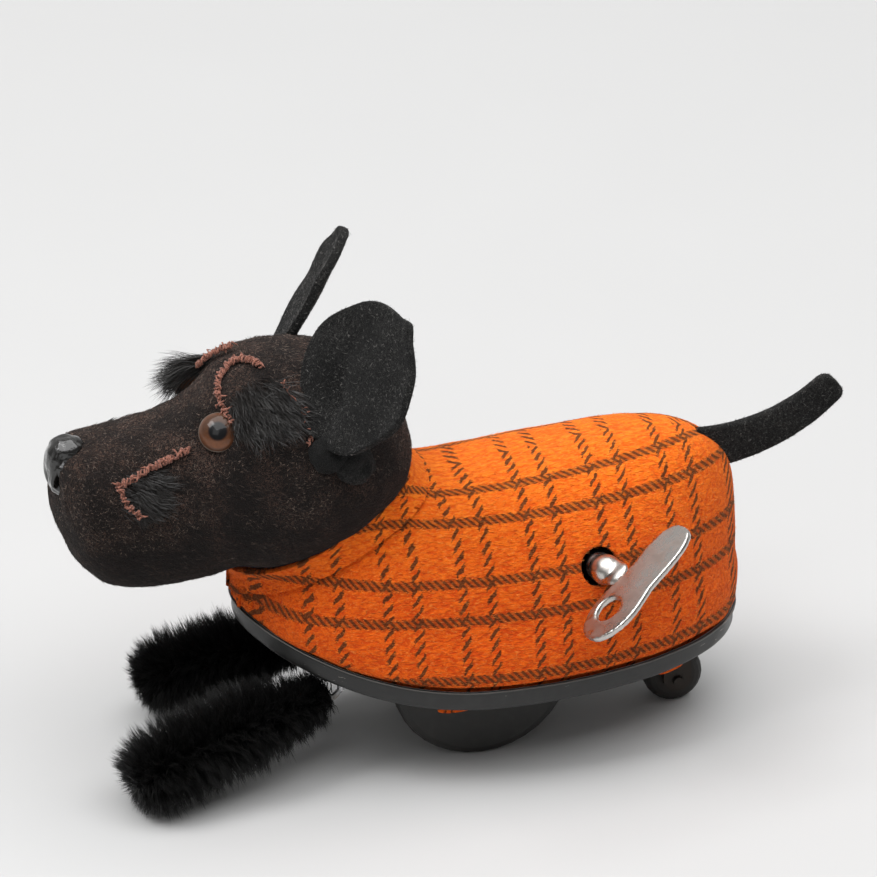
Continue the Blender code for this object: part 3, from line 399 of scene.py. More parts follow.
def plaid_wool():
    """Orange wool with a plaid of brown twill dashes, darker and redder low on the coat with painted shade.
    Its UV is forward and up along the cloth, in mm.
    """
    shade = Shade(
        "orange_plaid_wool", Roughness=0.92, Sheen_Weight=0.12, Sheen_Roughness=0.45,
        Sheen_Tint=(1.0, 0.62, 0.32, 1), Specular_IOR_Level=0.15)
    weave = shade.apart(shade.uv)
    wander = shade.math("MULTIPLY_ADD", shade.noise(1.1, 3), 0.6, -0.3)
    forward = shade.math("ADD", weave["X"], wander)
    upward = shade.math("ADD", weave["Y"], wander)

    def nearness(value, first, second, period):
        """Distance from the nearest line of a pair that repeats."""
        ways = [
            shade.math("PINGPONG", shade.math("SUBTRACT", value, line), period / 2)
            for line in (first, second)]
        return shade.math("MINIMUM", *ways)

    def dashes(along, across, slant, pitch):
        """Slanting dashes that repeat every pitch."""
        phase = shade.math("MULTIPLY_ADD", across, slant, along)
        return shade.math("SINE", shade.math("MULTIPLY", phase, 2 * pi / pitch))

    hairs = shade.noise(0.17, 4, stretch=(1, 0.22, 1), distortion=0.5)
    wisps = shade.noise(0.55, 4, stretch=(1, 0.35, 1), distortion=0.8)
    rough = shade.math("MULTIPLY_ADD", hairs, 1.3, -0.65)
    twill = shade.math(
        "MULTIPLY", shade.range(shade.math("ADD", nearness(upward, *LENGTHWISE), rough), 1.05, 0.65),
        shade.range(dashes(forward, upward, -0.85, DASH_PITCH), -0.6, 0.5, 0.45, 1.0))
    ticks = shade.math(
        "MULTIPLY", shade.range(shade.math("ADD", nearness(forward, *CROSSWISE), rough), 1.0, 0.6),
        shade.range(dashes(upward, forward, TICK_SLANT, TICK_PITCH), -0.05, 0.45))
    brown = shade.math("MAXIMUM", twill, ticks)
    # Painted shade: the wool is darker and redder low on the coat and paler higher up, as upward rises from
    # 14 to 44 mm along the cloth.
    painted_lit_share = shade.range(upward, 14.0, 44.0)
    deep = shade.mix(painted_lit_share, (0.66, 0.060, 0.003), (0.80, 0.108, 0.005))
    bright = shade.mix(painted_lit_share, (0.90, 0.135, 0.007), (0.97, 0.22, 0.014))
    wool = shade.mix(shade.range(wisps, 0.32, 0.68), deep, bright)
    wool = shade.mix(shade.range(hairs, 0.52, 0.76, 0, 0.6), wool, (1.0, 0.36, 0.065))
    yarn = shade.mix(shade.range(hairs, 0.35, 0.7), (0.045, 0.014, 0.004), (0.17, 0.056, 0.018))
    shade.set("Base Color", shade.mix(shade.math("MULTIPLY", brown, 0.92), wool, yarn))
    shade.bump(wisps, 0.55)
    shade.bump(hairs, 0.22)
    shade.bump(shade.noise(1.6, 3), 0.35, 0.8)
    return shade.material


def hair(name, dark, light, roughness=0.55, rarity=1.0):
    """Fur or bristle: each strand has its own shade, and pale ones are rarer as rarity goes up."""
    shade = Shade(name, Roughness=roughness)
    share = shade.math("POWER", shade.geometry("Random Per Island"), rarity)
    shade.set("Base Color", shade.mix(share, dark, light))
    shade.bump(shade.noise(0.15, 2), 0.02)
    return shade.material


def thread(name, dark, light):
    """Twisted cotton."""
    shade = Shade(name, Roughness=0.85, Sheen_Weight=0.2)
    twist = shade.noise(0.22, 3, stretch=(1, 1, 0.5))
    shade.set("Base Color", shade.mix(shade.range(twist, 0.35, 0.65), dark, light))
    shade.bump(twist, 0.12)
    return shade.material


def painted(name, colour, worn, roughness, wear_level):
    """Black enamel on tin, rubbed, dusty and scratched through in places."""
    shade = Shade(name)
    dust = shade.noise(2.5, 5)
    scratches = shade.noise(0.28, 5, stretch=(0.12, 0.12, 1))
    chips = shade.math("MULTIPLY", scratches, shade.range(shade.noise(6.0, 3), 0.35, 0.65, 0.72, 1.0))
    edges = shade.range(shade.geometry("Pointiness"), 0.54, 0.62, 0, 0.5)
    bare = shade.math("MAXIMUM", shade.range(chips, wear_level, wear_level + 0.04), edges)
    rubbed = shade.mix(shade.range(dust, 0.40, 0.75), colour, tuple(c * 1.5 + 0.003 for c in colour))
    shade.set("Base Color", shade.mix(bare, rubbed, worn))
    shade.set("Metallic", bare)
    shade.set("Roughness", shade.range(dust, 0.2, 0.8, roughness - 0.06, roughness + 0.12))
    shade.bump(shade.noise(0.5, 4), 0.02)
    return shade.material


def metal(name, colour, stain, roughness, streak=(1, 1, 1), size=0.6, depth=0.01):
    """Bare metal with fine streaks, fingermarks and stains."""
    shade = Shade(name, Metallic=1.0)
    streaks = shade.noise(size, 5, stretch=streak)
    marks = shade.noise(3.5, 4)
    shade.set("Base Color", shade.mix(shade.range(marks, 0.45, 0.75), colour, stain))
    uneven = shade.math("ADD", streaks, marks)
    shade.set("Roughness", shade.range(uneven, 0.7, 1.3, roughness * 0.7, roughness * 1.5))
    shade.bump(streaks, depth)
    return shade.material


def wax():
    """Glossy black wax with soft lumps."""
    shade = Shade("nose_wax", Roughness=0.16, Coat_Weight=0.7, Coat_Roughness=0.04)
    shade.set("Base Color", shade.mix(shade.noise(1.5, 3), (0.003, 0.003, 0.003), (0.012, 0.011, 0.010)))
    shade.bump(shade.noise(2.0, 2), 0.5)
    shade.bump(shade.noise(0.6, 3), 0.08)
    return shade.material


def card_or_wood(name, dark, light, stretch):
    """Pale pressed card or plain wood."""
    shade = Shade(name, Roughness=0.85)
    grain = shade.noise(0.8, 6, stretch=stretch)
    shade.set("Base Color", shade.mix(grain, dark, light))
    shade.bump(grain, 0.08)
    return shade.material


def eye_glass(side):
    """Painted glass eye: black pupil, brown iris that is amber below, and a painted reflection as a pale ring
    round its edge.
    """
    shade = Shade(
        f"eye_glass_{side}", Roughness=0.35, Coat_Weight=0.5, Coat_Roughness=0.03, Specular_IOR_Level=0.15)
    from_centre = shade.vector("SUBTRACT", shade.place, eye_centre(side) / MM)[0]
    across = shade.vector("CROSS_PRODUCT", from_centre, gaze_of(side))[0]
    off_axis = shade.math("DIVIDE", shade.vector("LENGTH", across)["Value"], EYE_R)
    amber = shade.mix(shade.noise(0.5, 4), (0.14, 0.042, 0.012), (0.26, 0.085, 0.026))
    brown = shade.mix(shade.noise(0.4, 4), (0.045, 0.019, 0.010), (0.085, 0.036, 0.018))
    iris = shade.mix(shade.range(shade.apart(from_centre)["Z"], -2.4, 1.4), amber, brown)
    ringed = shade.mix(shade.range(off_axis, 0.78, 0.90), iris, (0.10, 0.042, 0.022))
    # Painted reflection: a pale ring round the glass's edge stands for light caught there.
    with_rim_reflection = shade.mix(shade.range(off_axis, 0.945, 0.975), ringed, (0.20, 0.16, 0.13))
    shade.set("Base Color", shade.mix(shade.range(off_axis, 0.40, 0.55), (0.003, 0.003, 0.004), with_rim_reflection))
    return shade.material


def paint_node(names, material):
    """Give CAD nodes a material."""
    for name in names:
        node = frame["nodes"][name]
        node.data.materials.clear()
        node.data.materials.append(material)


# ---------------------------------------------------------------- building pieces

def add(name, mesh, material, slot, replaced=(), body=BODY):
    """Put a mesh in the scene as a piece of the toy."""
    obj = link(bpy.data.objects.new(name, mesh))
    mesh.materials.append(material)
    mesh.shade_smooth()
    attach(obj, body)
    if replaced:
        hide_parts(*replaced)
    return obj


def mesh_of(name, bm):
    """A mesh from a bmesh whose sizes are in metres."""
    bmesh.ops.recalc_face_normals(bm, faces=bm.faces)
    mesh = bpy.data.meshes.new(name)
    bm.to_mesh(mesh)
    bm.free()
    return mesh


def shape(name, bm, *rest):
    """Put a bmesh in the scene as a piece of the toy, as add does."""
    return add(name, mesh_of(name, bm), *rest)


def settled(obj):
    """Replace an object's mesh by what its modifiers make of it."""
    evaluated = obj.evaluated_get(bpy.context.evaluated_depsgraph_get())
    mesh = bpy.data.meshes.new_from_object(evaluated)
    obj.modifiers.clear()
    old = obj.data
    obj.data = mesh
    bpy.data.meshes.remove(old)
    return obj


def thickened(obj, thickness, offset=-1.0, edge=0.0):
    """Solidify an open surface, in metres, and round its edges."""
    modifier = obj.modifiers.new("thickness", "SOLIDIFY")
    modifier.thickness = thickness
    modifier.offset = offset
    modifier.use_even_offset = False
    if edge:
        rounding = obj.modifiers.new("edge", "BEVEL")
        rounding.width = edge
        rounding.segments = 2
        rounding.limit_method = "ANGLE"
        rounding.angle_limit = radians(50)
    return settled(obj)


def cut_out(obj, bm):
    """Take a closed bmesh out of an object."""
    tool = link(bpy.data.objects.new("cutter", mesh_of("cutter", bm)))
    modifier = obj.modifiers.new("cut", "BOOLEAN")
    modifier.object = tool
    modifier.operation = "DIFFERENCE"
    settled(obj)
    mesh = tool.data
    bpy.data.objects.remove(tool)
    bpy.data.meshes.remove(mesh)
    return obj


def drilled(obj, radius, depth, middle, direction):
    """Bore a round hole of radius and depth in millimetres, along a direction and about its middle."""
    tool = bmesh.new()
    bmesh.ops.create_cone(
        tool, cap_ends=True, segments=48, radius1=radius * MM, radius2=radius * MM, depth=depth * MM,
        matrix=posed(middle, direction))
    return cut_out(obj, tool)


def slotted(obj, middle, size):
    """Cut a box of size in millimetres out of an object."""
    tool = bmesh.new()
    bmesh.ops.create_cube(tool, size=MM, matrix=Matrix.Translation(middle) @ Matrix.Diagonal((*size, 1)))
    return cut_out(obj, tool)


def lattice(bm, rows, columns, place):
    """Rows of vertices, each where place says for its row and column."""
    return [[bm.verts.new(place(i, j)) for j in range(columns)] for i in range(rows)]


def grid_faces(bm, rows, closed=False):
    """Faces between neighbouring rows of vertices."""
    for near, far in zip(rows, rows[1:]):
        count = len(near)
        for j in range(count if closed else count - 1):
            k = (j + 1) % count
            bm.faces.new((near[j], near[k], far[k], far[j]))


def capped(bm, rows):
    """A closed skin through rings of vertices, with flat ends."""
    grid_faces(bm, rows, closed=True)
    for row in (rows[0], rows[-1]):
        bm.faces.new(row)


def ball(segments, rings, matrix):
    """A bmesh of the unit sphere under a matrix."""
    bm = bmesh.new()
    bmesh.ops.create_uvsphere(bm, u_segments=segments, v_segments=rings, radius=1.0, matrix=matrix)
    return bm


def tube(name, paths, radius, material, slot):
    """Threads or wires of one radius in millimetres along world paths, as one piece."""
    curve = bpy.data.curves.new(name, "CURVE")
    curve.dimensions = "3D"
    curve.bevel_depth = radius * MM
    curve.bevel_resolution = 1
    curve.use_fill_caps = True
    for path in paths:
        spline = curve.splines.new("POLY")
        spline.points.add(len(path) - 1)
        for i, point in enumerate(path):
            spline.points[i].co = (*point, 1)
            spline.points[i].radius = 1.0 if 0 < i < len(path) - 1 else 0.4
    holder = link(bpy.data.objects.new(name, curve))
    evaluated = holder.evaluated_get(bpy.context.evaluated_depsgraph_get())
    mesh = bpy.data.meshes.new_from_object(evaluated)
    bpy.data.objects.remove(holder)
    return add(name, mesh, material, slot)


def strands(name, paths, width, material, slot, replaced=()):
    """Hairs: tapered ribbons along world paths, each turned its own way. width is in millimetres."""
    rng = random.Random(name)
    points, faces = [], []
    for path in paths:
        along = path[-1] - path[0]
        turn = Vector([rng.uniform(-1, 1) for _ in range(3)])
        across = along.cross(turn).normalized() * (width * MM / 2)
        first = len(points)
        last = len(path) - 1
        for i, point in enumerate(path[:-1]):
            share = 1.0 - 0.65 * i / last
            points += [point - across * share, point + across * share]
            if i:
                k = first + 2 * i
                faces.append((k - 2, k - 1, k + 1, k))
        points.append(path[-1])
        k = first + 2 * last
        faces.append((k - 2, k - 1, k))
    mesh = bpy.data.meshes.new(name)
    mesh.from_pydata(points, [], faces)
    return add(name, mesh, material, slot, replaced)


def scattered(obj, count, seed, keep=None):
    """count random (point, normal) pairs on an object's surface, in the world."""
    rng = random.Random(seed)
    mesh = obj.data
    mesh.calc_loop_triangles()
    triangles = mesh.loop_triangles
    sizes = [t.area for t in triangles]
    chosen = []
    while len(chosen) < count:
        for triangle in rng.choices(triangles, weights=sizes, k=count):
            a, b = sorted((rng.random(), rng.random()))
            corners = [mesh.vertices[v].co for v in triangle.vertices]
            point = corners[0] * a + corners[1] * (b - a) + corners[2] * (1 - b)
            normal = triangle.normal
            if keep is None or keep(point, normal):
                chosen.append((point.copy(), normal.copy()))
    return chosen[:count]


def fuzz(name, obj, fibres, material, slot, keep=None, comb=None):
    """Short fibres over a surface. They lean from its normal along comb or any way."""
    count, reach, lean, width = fibres
    count = int(count * (1.0))
    rng = random.Random(name)
    paths = []
    for point, normal in scattered(obj, count, name, keep):
        side = jitter(rng, 1)
        if comb:
            side = comb * 2.2 + side * 0.6
        side = level(side, normal)
        length = reach * MM * rng.uniform(0.35, 1.0)
        out = normal * cos(lean) + side * sin(lean)
        flat = normal * cos(lean) * 0.1 + side
        middle = point + out * length * 0.5
        end = middle + (out + flat).normalized() * length * 0.5 + jitter(rng, 0.08) * length
        paths.append([point - normal * 0.05 * MM, middle, end])
    return strands(name, paths, width, material, slot)


# ---------------------------------------------------------------- the shapes that repeat the CAD part's

def prow(y):
    """How far the base is lifted at y."""
    return PROW_LIFT * (max(0.0, -y) / (BASE_HALF_LENGTH - BASE_Y)) ** 2


def ridge(y):
    """Height of the coat's back along the toy."""
    return RIDGE_Z + RUMP_RISE * bell(y - 30, 19) + NAPE_RISE * bell(y + 11, 6)


def arched(y, turn, inset=0.0):
    """A point (x, y, z) on the coat's outer surface moved in by inset.

    y is its station, and turn runs from the left hem over to the right.
    """
    half_length = BASE_HALF_LENGTH - COAT_INSET - inset
    u = min(1.0, max(-1.0, (y - BASE_Y) / half_length))
    foot = BASE_Z + TIN + COAT_LIFT + prow(y)
    half = (BASE_HALF_WIDTH - COAT_INSET - inset) * sqrt(max(0.0, 1 - u * u))
    tall = (ridge(y) - inset - foot) * max(0.0, 1 - abs(u) ** END_POWER) ** (1 / END_POWER)
    c, s = cos(turn), max(0.0, sin(turn))
    height = tall * s ** (2 / ARCH_POWER)
    swell = 1 + COAT_SWELL * smooth((height - RIM) / 7)
    x = half * signed(c, 2 / ARCH_POWER)
    over = RIM_OVERHANG * smooth((height - RIM + 1.4) / 1.3) * (1 - smooth((height - RIM) / 9))
    bulge = Vector((x, (y - BASE_Y) * (BASE_HALF_WIDTH / BASE_HALF_LENGTH) ** 2, 0)).normalized() * over
    return Vector((x * swell, BASE_Y + (y - BASE_Y) * swell, foot + height)) + bulge


def collar_plane(offset=0.0):
    """A world point on the collar plane moved by offset, and the plane's normal."""
    normal = Vector((0, -sin(COLLAR_TILT), cos(COLLAR_TILT)))
    return at(-COLLAR_Y, 0, COLLAR_Z) + normal * offset * MM, normal


def hugging(bm, skin, proud):
    """Draw a surface's vertices in towards the neck as they near the collar plane."""
    origin, normal = collar_plane()
    for vert in bm.verts:
        height = (vert.co - origin).dot(normal) / MM
        share = smooth(1 + height / HUG_REACH) ** 1.5
        if share > 0:
            probe = vert.co + normal * (max(height, 0.4) - height) * MM
            _, point, out, _ = skin.closest_point_on_mesh(probe)
            pull = point + out * proud * MM - probe
            vert.co += (pull - normal * pull.dot(normal)) * share
    return bm


def trimmed(bm, offset, keep_below=True):
    """Cut a bmesh on the collar plane."""
    point, normal = collar_plane(offset)
    bmesh.ops.bisect_plane(
        bm, geom=bm.verts[:] + bm.edges[:] + bm.faces[:], plane_co=point,
        plane_no=normal if keep_below else -normal, clear_outer=True)
    return bm


def cloth_surface(inset, stations, arch, ripple=0.0):
    """The coat's surface with its cloth coordinates, forward and up along the cloth in millimetres, as UV."""
    bm = bmesh.new()
    layer = bm.loops.layers.uv.new("cloth")
    places = {}
    rows = []
    for i in range(stations + 1):
        y = BASE_Y + (BASE_HALF_LENGTH - COAT_INSET - inset) * sin(pi * (i / stations - 0.5)) * 0.9999
        points = [arched(y, pi * j / arch, inset) for j in range(arch + 1)]
        lengths = [0.0]
        for a, b in zip(points, points[1:]):
            lengths.append(lengths[-1] + (b - a).length)
        row = []
        for point, length in zip(points, lengths):
            lift = ripple * (noise.noise(point / 9.0) + 0.4 * noise.noise(point / 3.5))
            out = Vector((point.x, (point.y - BASE_Y) * 0.3, point.z - RIDGE_Z * 0.45)).normalized()
            vert = bm.verts.new(at(-point.y, point.x, point.z) + out * lift * MM)
            places[vert] = (-y, min(length, lengths[-1] - length) + prow(y) - COAT_LIFT)
            row.append(vert)
        rows.append(row)
    grid_faces(bm, rows)
    for face in bm.faces:
        for loop in face.loops:
            loop[layer].uv = places[loop.vert]
    bmesh.ops.remove_doubles(bm, verts=bm.verts, dist=0.01 * MM)
    return bm


def blended(rows, place):
    """A smooth curve through the rows of a table, at a row number with a fraction."""
    i = min(int(place), len(rows) - 2)
    t = place - i
    p0, p1, p2, p3 = (rows[max(0, min(len(rows) - 1, i + k))] for k in (-1, 0, 1, 2))
    return [
        0.5 * (2 * b + (c - a) * t + (2 * a - 5 * b + 4 * c - d) * t * t + (3 * b - a - 3 * c + d) * t ** 3)
        for a, b, c, d in zip(p0, p1, p2, p3)]


def tucked(point):
    """Move a world point of the head in towards the neck's axis as it nears the collar plane."""
    origin, normal = collar_plane()
    height = (point - origin).dot(normal)
    share = min(1.0, max(0.0, 1 - height / (NECK_BLEND * MM)))
    over = origin + normal * height
    return over + (point - over) * (1 - NECK_TUCK * share ** 2)


def head_point(place, turn, inset=0.0):
    """A world point on the head: place is a section number with a fraction, and turn runs from the left."""
    ahead, top, bottom, half = blended(HEAD_SECTIONS, place)
    middle = (HEAD_SECTIONS[0][0] + HEAD_SECTIONS[-1][0]) / 2
    half_length = HEAD_SECTIONS[-1][0] - middle
    ahead = middle + (ahead - middle) * (1 - inset / half_length)
    c, s = cos(turn), sin(turn)
    left = max(0.5, half - inset) * signed(c, 2 / HEAD_POWER)
    up = max(0.5, (top - bottom) / 2 - inset) * signed(s, 2 / HEAD_POWER)
    return tucked(at(ahead, left, (top + bottom) / 2 + up))


def eye_centre(side):
    """Middle of an eye, from its CAD node."""
    return extent(f"eye_{side}")[0]


def gaze_of(side):
    """Where an eye looks."""
    forward, left, up = GAZE
    return way(forward, left if side == "left" else -left, up)


# ---------------------------------------------------------------- base, wheels and key

def tray(paint):
    """Oval tin tray with a rolled edge, swept up at the front."""
    sides = 144
    floor = [(share, 0.0) for share in (0.30, 0.45, 0.6, 0.75, 0.88, 0.965)]
    corner = [(0.965 + 0.035 * sin(a), 0.9 * (1 - cos(a))) for a in (pi / 6, pi / 3, pi / 2)]
    wall = [(1.0, 1.8), (1.0, 2.7), (1.0, 3.2)]
    bead = [(1.0 + 0.012 * sin(a), RIM - 0.25 * cos(a)) for a in (0, pi / 4, pi / 2, 3 * pi / 4)]
    profile = floor + corner + wall + bead

    def place(i, j):
        share, height = profile[i]
        a = 2 * pi * j / sides
        y = BASE_Y + BASE_HALF_LENGTH * share * sin(a)
        x = BASE_HALF_WIDTH * share * cos(a)
        dent = 0.12 * noise.noise(Vector((7 * cos(a), 7 * sin(a), 0.3 * height)))
        return at(-y, x, BASE_Z + height + prow(y)) + Vector((x, y, 0)).normalized() * dent * MM

    bm = bmesh.new()
    rows = lattice(bm, len(profile), sides, place)
    grid_faces(bm, rows, closed=True)
    bm.faces.new(rows[0])
    piece = shape("tray", bm, paint, "painted_tin", ["tin_base"])
    return slotted(thickened(piece, TRAY_SHEET * MM), at(0, 0, BASE_Z), (*WINDOW, 12))


def hem(cloth):
    """Corners of the coat's cloth that hang out under the base, by the roller and over the wheel."""
    for name, replaced, (forward, left, up), (wide, long), fall in HEM_FLAPS:
        bm = bmesh.new()
        layer = bm.loops.layers.uv.new("cloth")
        rows = []
        for i in range(11):
            row = []
            for j in range(17):
                u, v = i / 10 - 0.5, j / 16 - 0.5
                round_off = sqrt(max(0.05, 1 - (2 * v) ** 4))
                droop = fall * (0.75 * smooth(u + 0.5) + 0.25 * sin(7 * v + 2 * u)) * round_off
                row.append(bm.verts.new(at(forward + long * v, left + wide * u * round_off, up - droop)))
            rows.append(row)
        grid_faces(bm, rows)
        for face in bm.faces:
            for loop in face.loops:
                place = (loop.vert.co - HOME) / MM
                loop[layer].uv = (place.y, place.x - 12)
        piece = shape(name, bm, cloth, "coat_cloth", replaced)
        thickened(piece, HEM_SHEET * MM, edge=0.25 * MM)


def key(nickel):
    """Key struck from one blank: a waisted wing with rounded edges that runs into its barrel."""
    axis = Vector(KEY_AXIS).normalized()
    flat = axis.cross(Vector(KEY_SPAN)).normalized()
    middle, _ = extent("key_barrel")
    boss = middle + axis * KEY_BOSS_OUT * MM
    source = bmesh.new()
    source.from_mesh(frame["nodes"]["key_barrel"].data)
    for vert in source.verts:
        out = vert.co - boss
        if out.dot(axis) > 0:
            vert.co -= flat * out.dot(flat) * KEY_PINCH
    source.from_mesh(frame["nodes"]["key_wing"].data)
    stretch = Matrix.Diagonal((KEY_BOSS[0] * MM, KEY_BOSS[0] * MM, KEY_BOSS[1] * MM, 1))
    bmesh.ops.create_uvsphere(
        source, u_segments=32, v_segments=24, radius=1.0, matrix=posed(boss, axis) @ stretch)
    piece = shape("nickel_key", source, nickel, "key_nickel", ["key_wing", "key_barrel"], "key")
    modifier = piece.modifiers.new("one_piece", "REMESH")
    modifier.mode = "VOXEL"
    modifier.voxel_size = KEY_GRAIN * MM
    modifier = piece.modifiers.new("polish", "SMOOTH")
    modifier.factor = 0.5
    modifier.iterations = 9
    settled(piece)
    radius, depth, from_mouth = KEY_SOCKET
    drilled(piece, radius, 2 * depth, middle - axis * from_mouth * MM, axis)
    piece.data.shade_smooth()


# ---------------------------------------------------------------- coat

def coat(cloth, skin):
    """Wool coat that hugs the neck, with a hole for the key and a slot for the tail."""
    detail = 2
    surface = trimmed(cloth_surface(0.1, 80 * detail, 72 * detail, ripple=0.28), COLLAR_RISE - 1.0)
    piece = shape("wool_coat", hugging(surface, skin, 0.3), cloth, "coat_cloth", ["coat"])
    thickened(piece, COAT_SHEET * MM)
    axis = Vector(KEY_AXIS).normalized()
    middle, _ = extent("key_barrel")
    drilled(piece, KEY_HOLE_R, 16, middle - axis * 2 * MM, axis)
    return slotted(piece, at(TAIL_ROOT[0] - 3.0, 0, TAIL_ROOT[1] + 0.2), (TAIL_T + 0.3, 14, 7.4))


def collar(cloth, skin):
    """Band round the neck, drawn in to it, with rounded edges."""
    below = trimmed(cloth_surface(-0.2, 110, 120, 0.15), COLLAR_RISE)
    bm = trimmed(below, COLLAR_RISE - COLLAR_W, keep_below=False)
    strays = [f for f in bm.faces if f.calc_center_median().y > HOME.y]
    bmesh.ops.delete(bm, geom=strays, context="FACES")
    hugging(bm, skin, 1.0)
    piece = shape("collar_band", bm, cloth, "coat_cloth", ["coat_collar"])
    return thickened(piece, COLLAR_T * MM, offset=0.2, edge=0.3 * MM)


def chest_seam(cloth, coat_piece):
    """Raised seam where the coat's front edges meet, to the left of the chest's middle."""
    path = []
    for i in range(25):
        share = i / 24
        place = at(CHEST_SEAM[0], CHEST_SEAM[1], CHEST_SEAM[2] + CHEST_SEAM[3] * (share - 0.5))
        _, point, out, _ = coat_piece.closest_point_on_mesh(place)
        path.append(point + out * 0.15 * MM)
    return tube("chest_seam", [path], SEAM_R, cloth, "coat_cloth")


# ---------------------------------------------------------------- head

def head(wool):
    """Brushed skin of the head, open at the neck, with hollows round the eyes."""
    per_section, around = ((10, 120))
    count = (len(HEAD_SECTIONS) - 1) * per_section
    eyes = [eye_centre(side) for side in ("left", "right")]

    def place(i, j):
        turn = 2 * pi * (j + 0.5) / around
        point = head_point(i / per_section, turn)
        out = (point - head_point(i / per_section, turn, 3.0)).normalized()
        bumps = noise.noise(point / (11 * MM)) * 0.55 + noise.noise(point / (2.6 * MM)) * 0.17
        for eye in eyes:
            bumps -= EYE_HOLLOW[0] * bell((point - eye).length / MM - EYE_HOLLOW[1], EYE_HOLLOW[2])
        return point + out * bumps * MM

    bm = bmesh.new()
    capped(bm, lattice(bm, count + 1, around, place))
    trimmed(bm, -NECK_DEPTH, keep_below=False)
    return shape("head_skin", bm, wool, "head_felt", ["head_felt"])


def nose(material):
    """Wax cap over the muzzle's end: a flat face with a raised rim, and a nostril cut into each side."""
    middle, half = extent("nose")
    bm = ball(96, 72, Matrix())
    for vert in bm.verts:
        d = vert.co.normalized()
        squared = Vector([signed(c, 0.80) for c in d])
        carved = smooth((d.z + 0.8) * 2.2)
        for side in (-1, 1):
            hollow = Vector((0.86 * side, -0.42, -0.28)).normalized()
            wing = Vector((0.66 * side, -0.70, -0.26)).normalized()
            crest = Vector((0.80 * side, -0.30, 0.42)).normalized()
            squared -= d * carved * 0.34 * bell((d - hollow).length, 0.25)
            squared += d * carved * 0.07 * bell((d - wing).length, 0.17)
            squared -= d * 0.17 * bell((d - crest).length, 0.22)
            squared += d * carved * 0.07 * bell((d - hollow).length - 0.42, 0.09)
        squared -= d * carved * 0.15 * bell(d.x, 0.12) * smooth((0.2 - d.z) * 2) * smooth(-d.y * 2)
        squared += d * 0.07 * noise.noise(d * 2.6)
        vert.co = middle + Vector([c * h for c, h in zip(squared, half)])
    return shape("nose_cap", bm, material, "nose_wax", ["nose"])


def eye(side):
    """Glass eye: a lens with a painted reflection round its edge, let into the felt."""
    squash = Matrix.Diagonal((EYE_R * MM, EYE_R * MM, EYE_DEPTH * MM, 1))
    bm = ball(64, 40, posed(eye_centre(side), gaze_of(side)) @ squash)
    shape(f"glass_eye_{side}", bm, eye_glass(side), "eye_glass", [f"eye_{side}"])


def ear_frame(side):
    """Across, up and out of an ear, and its middle."""
    sign = 1 if side == "left" else -1
    (forward, left, height), normal = EARS[side]
    out = way(normal[0], sign * normal[1], normal[2])
    up = way(EAR_UP[0], sign * EAR_UP[1], EAR_UP[2])
    across = up.cross(out).normalized()
    return across, out.cross(across), out, at(forward, sign * left, height)


def ear(side, wool):
    """Round felt ear, cupped towards the front and folded in where it is sewn on."""
    across, up, out, middle = ear_frame(side)
    near = side == "left"
    inner = -1 if near else 1
    rings, around = 24, 120

    def place(i, j):
        r, a = i / rings, 2 * pi * j / around
        rim = 1 + 0.03 * noise.noise(Vector((2 * cos(a), 2 * sin(a), 5.0 + inner)))
        x, y = r * rim * cos(a), r * rim * sin(a)
        if near:
            corner = 1 + 0.09 * bell(a - radians(EAR_CORNER), 0.13) * r ** 6
            x, y = x * corner, y * corner
            cup = 1.0 * x * x + 3.2 * smooth(-y * 1.3 - 0.15) * smooth(0.35 - x)
            cup += 1.8 * smooth(-x * 1.8 - 0.5) - 1.6 * bell(x + 0.45, 0.22) * smooth(0.6 - y)
            wide = 1 + 0.07 * smooth(y + 0.4) - 0.30 * smooth((-y - 0.25) * 1.4)
            x -= 0.16 * smooth((-y - 0.2) * 1.4)
            y *= 1 - 0.2 * smooth(-y)
        else:
            cup = 0.9 * (x * x - 0.3) + 0.6 * y * y
            wide = 1 - 0.16 * smooth(-y * 1.3 - 0.2)
        cup += 0.45 * noise.noise(Vector((x * 2.2, y * 2.2, inner)))
        return middle + (across * x * EAR_HALF[0] * wide + up * y * EAR_HALF[1] + out * cup) * MM

    bm = bmesh.new()
    grid_faces(bm, lattice(bm, rings + 1, around, place), closed=True)
    bmesh.ops.remove_doubles(bm, verts=bm.verts, dist=0.001 * MM)
    piece = shape(f"ear_felt_{side}", bm, wool, "ear_felt", [f"ear_{side}"])
    return thickened(piece, EAR_T * MM, offset=0.0, edge=0.3 * MM)


def ear_lobes(wool, skin):
    """Two curls of felt where the near ear's foot is tucked and sewn to the head."""
    for name, centre, radii, turn in EAR_LOBES:
        _, spot, normal, _ = skin.closest_point_on_mesh(at(*centre))
        bm = ball(48, 32, Matrix())
        for vert in bm.verts:
            d = vert.co.normalized()
            dip = 0.45 * exp(-((d.x - 0.15) ** 2 + (d.y + 0.1) ** 2) / 0.12) * max(0.0, d.z)
            lump = 1 + 0.16 * noise.noise(d * 2.0 + Vector(centre))
            vert.co = d * lump - Vector((0, 0, dip))
        squash = Matrix.Diagonal((radii[0] * MM, radii[2] * MM, radii[1] * MM, 1))
        bm.transform(posed(spot + normal * 0.5 * MM, normal) @ Matrix.Rotation(turn, 4, "Z") @ squash)
        shape(name, bm, wool, "ear_felt")


# ---------------------------------------------------------------- tufts and threads

def on_head(forward, left, up, skin, proud=0.0):
    """The point of the head's skin nearest to a place, raised by proud, and the skin's normal there."""
    _, point, normal, _ = skin.closest_point_on_mesh(at(forward, left, up))
    return point + normal * proud * MM, normal


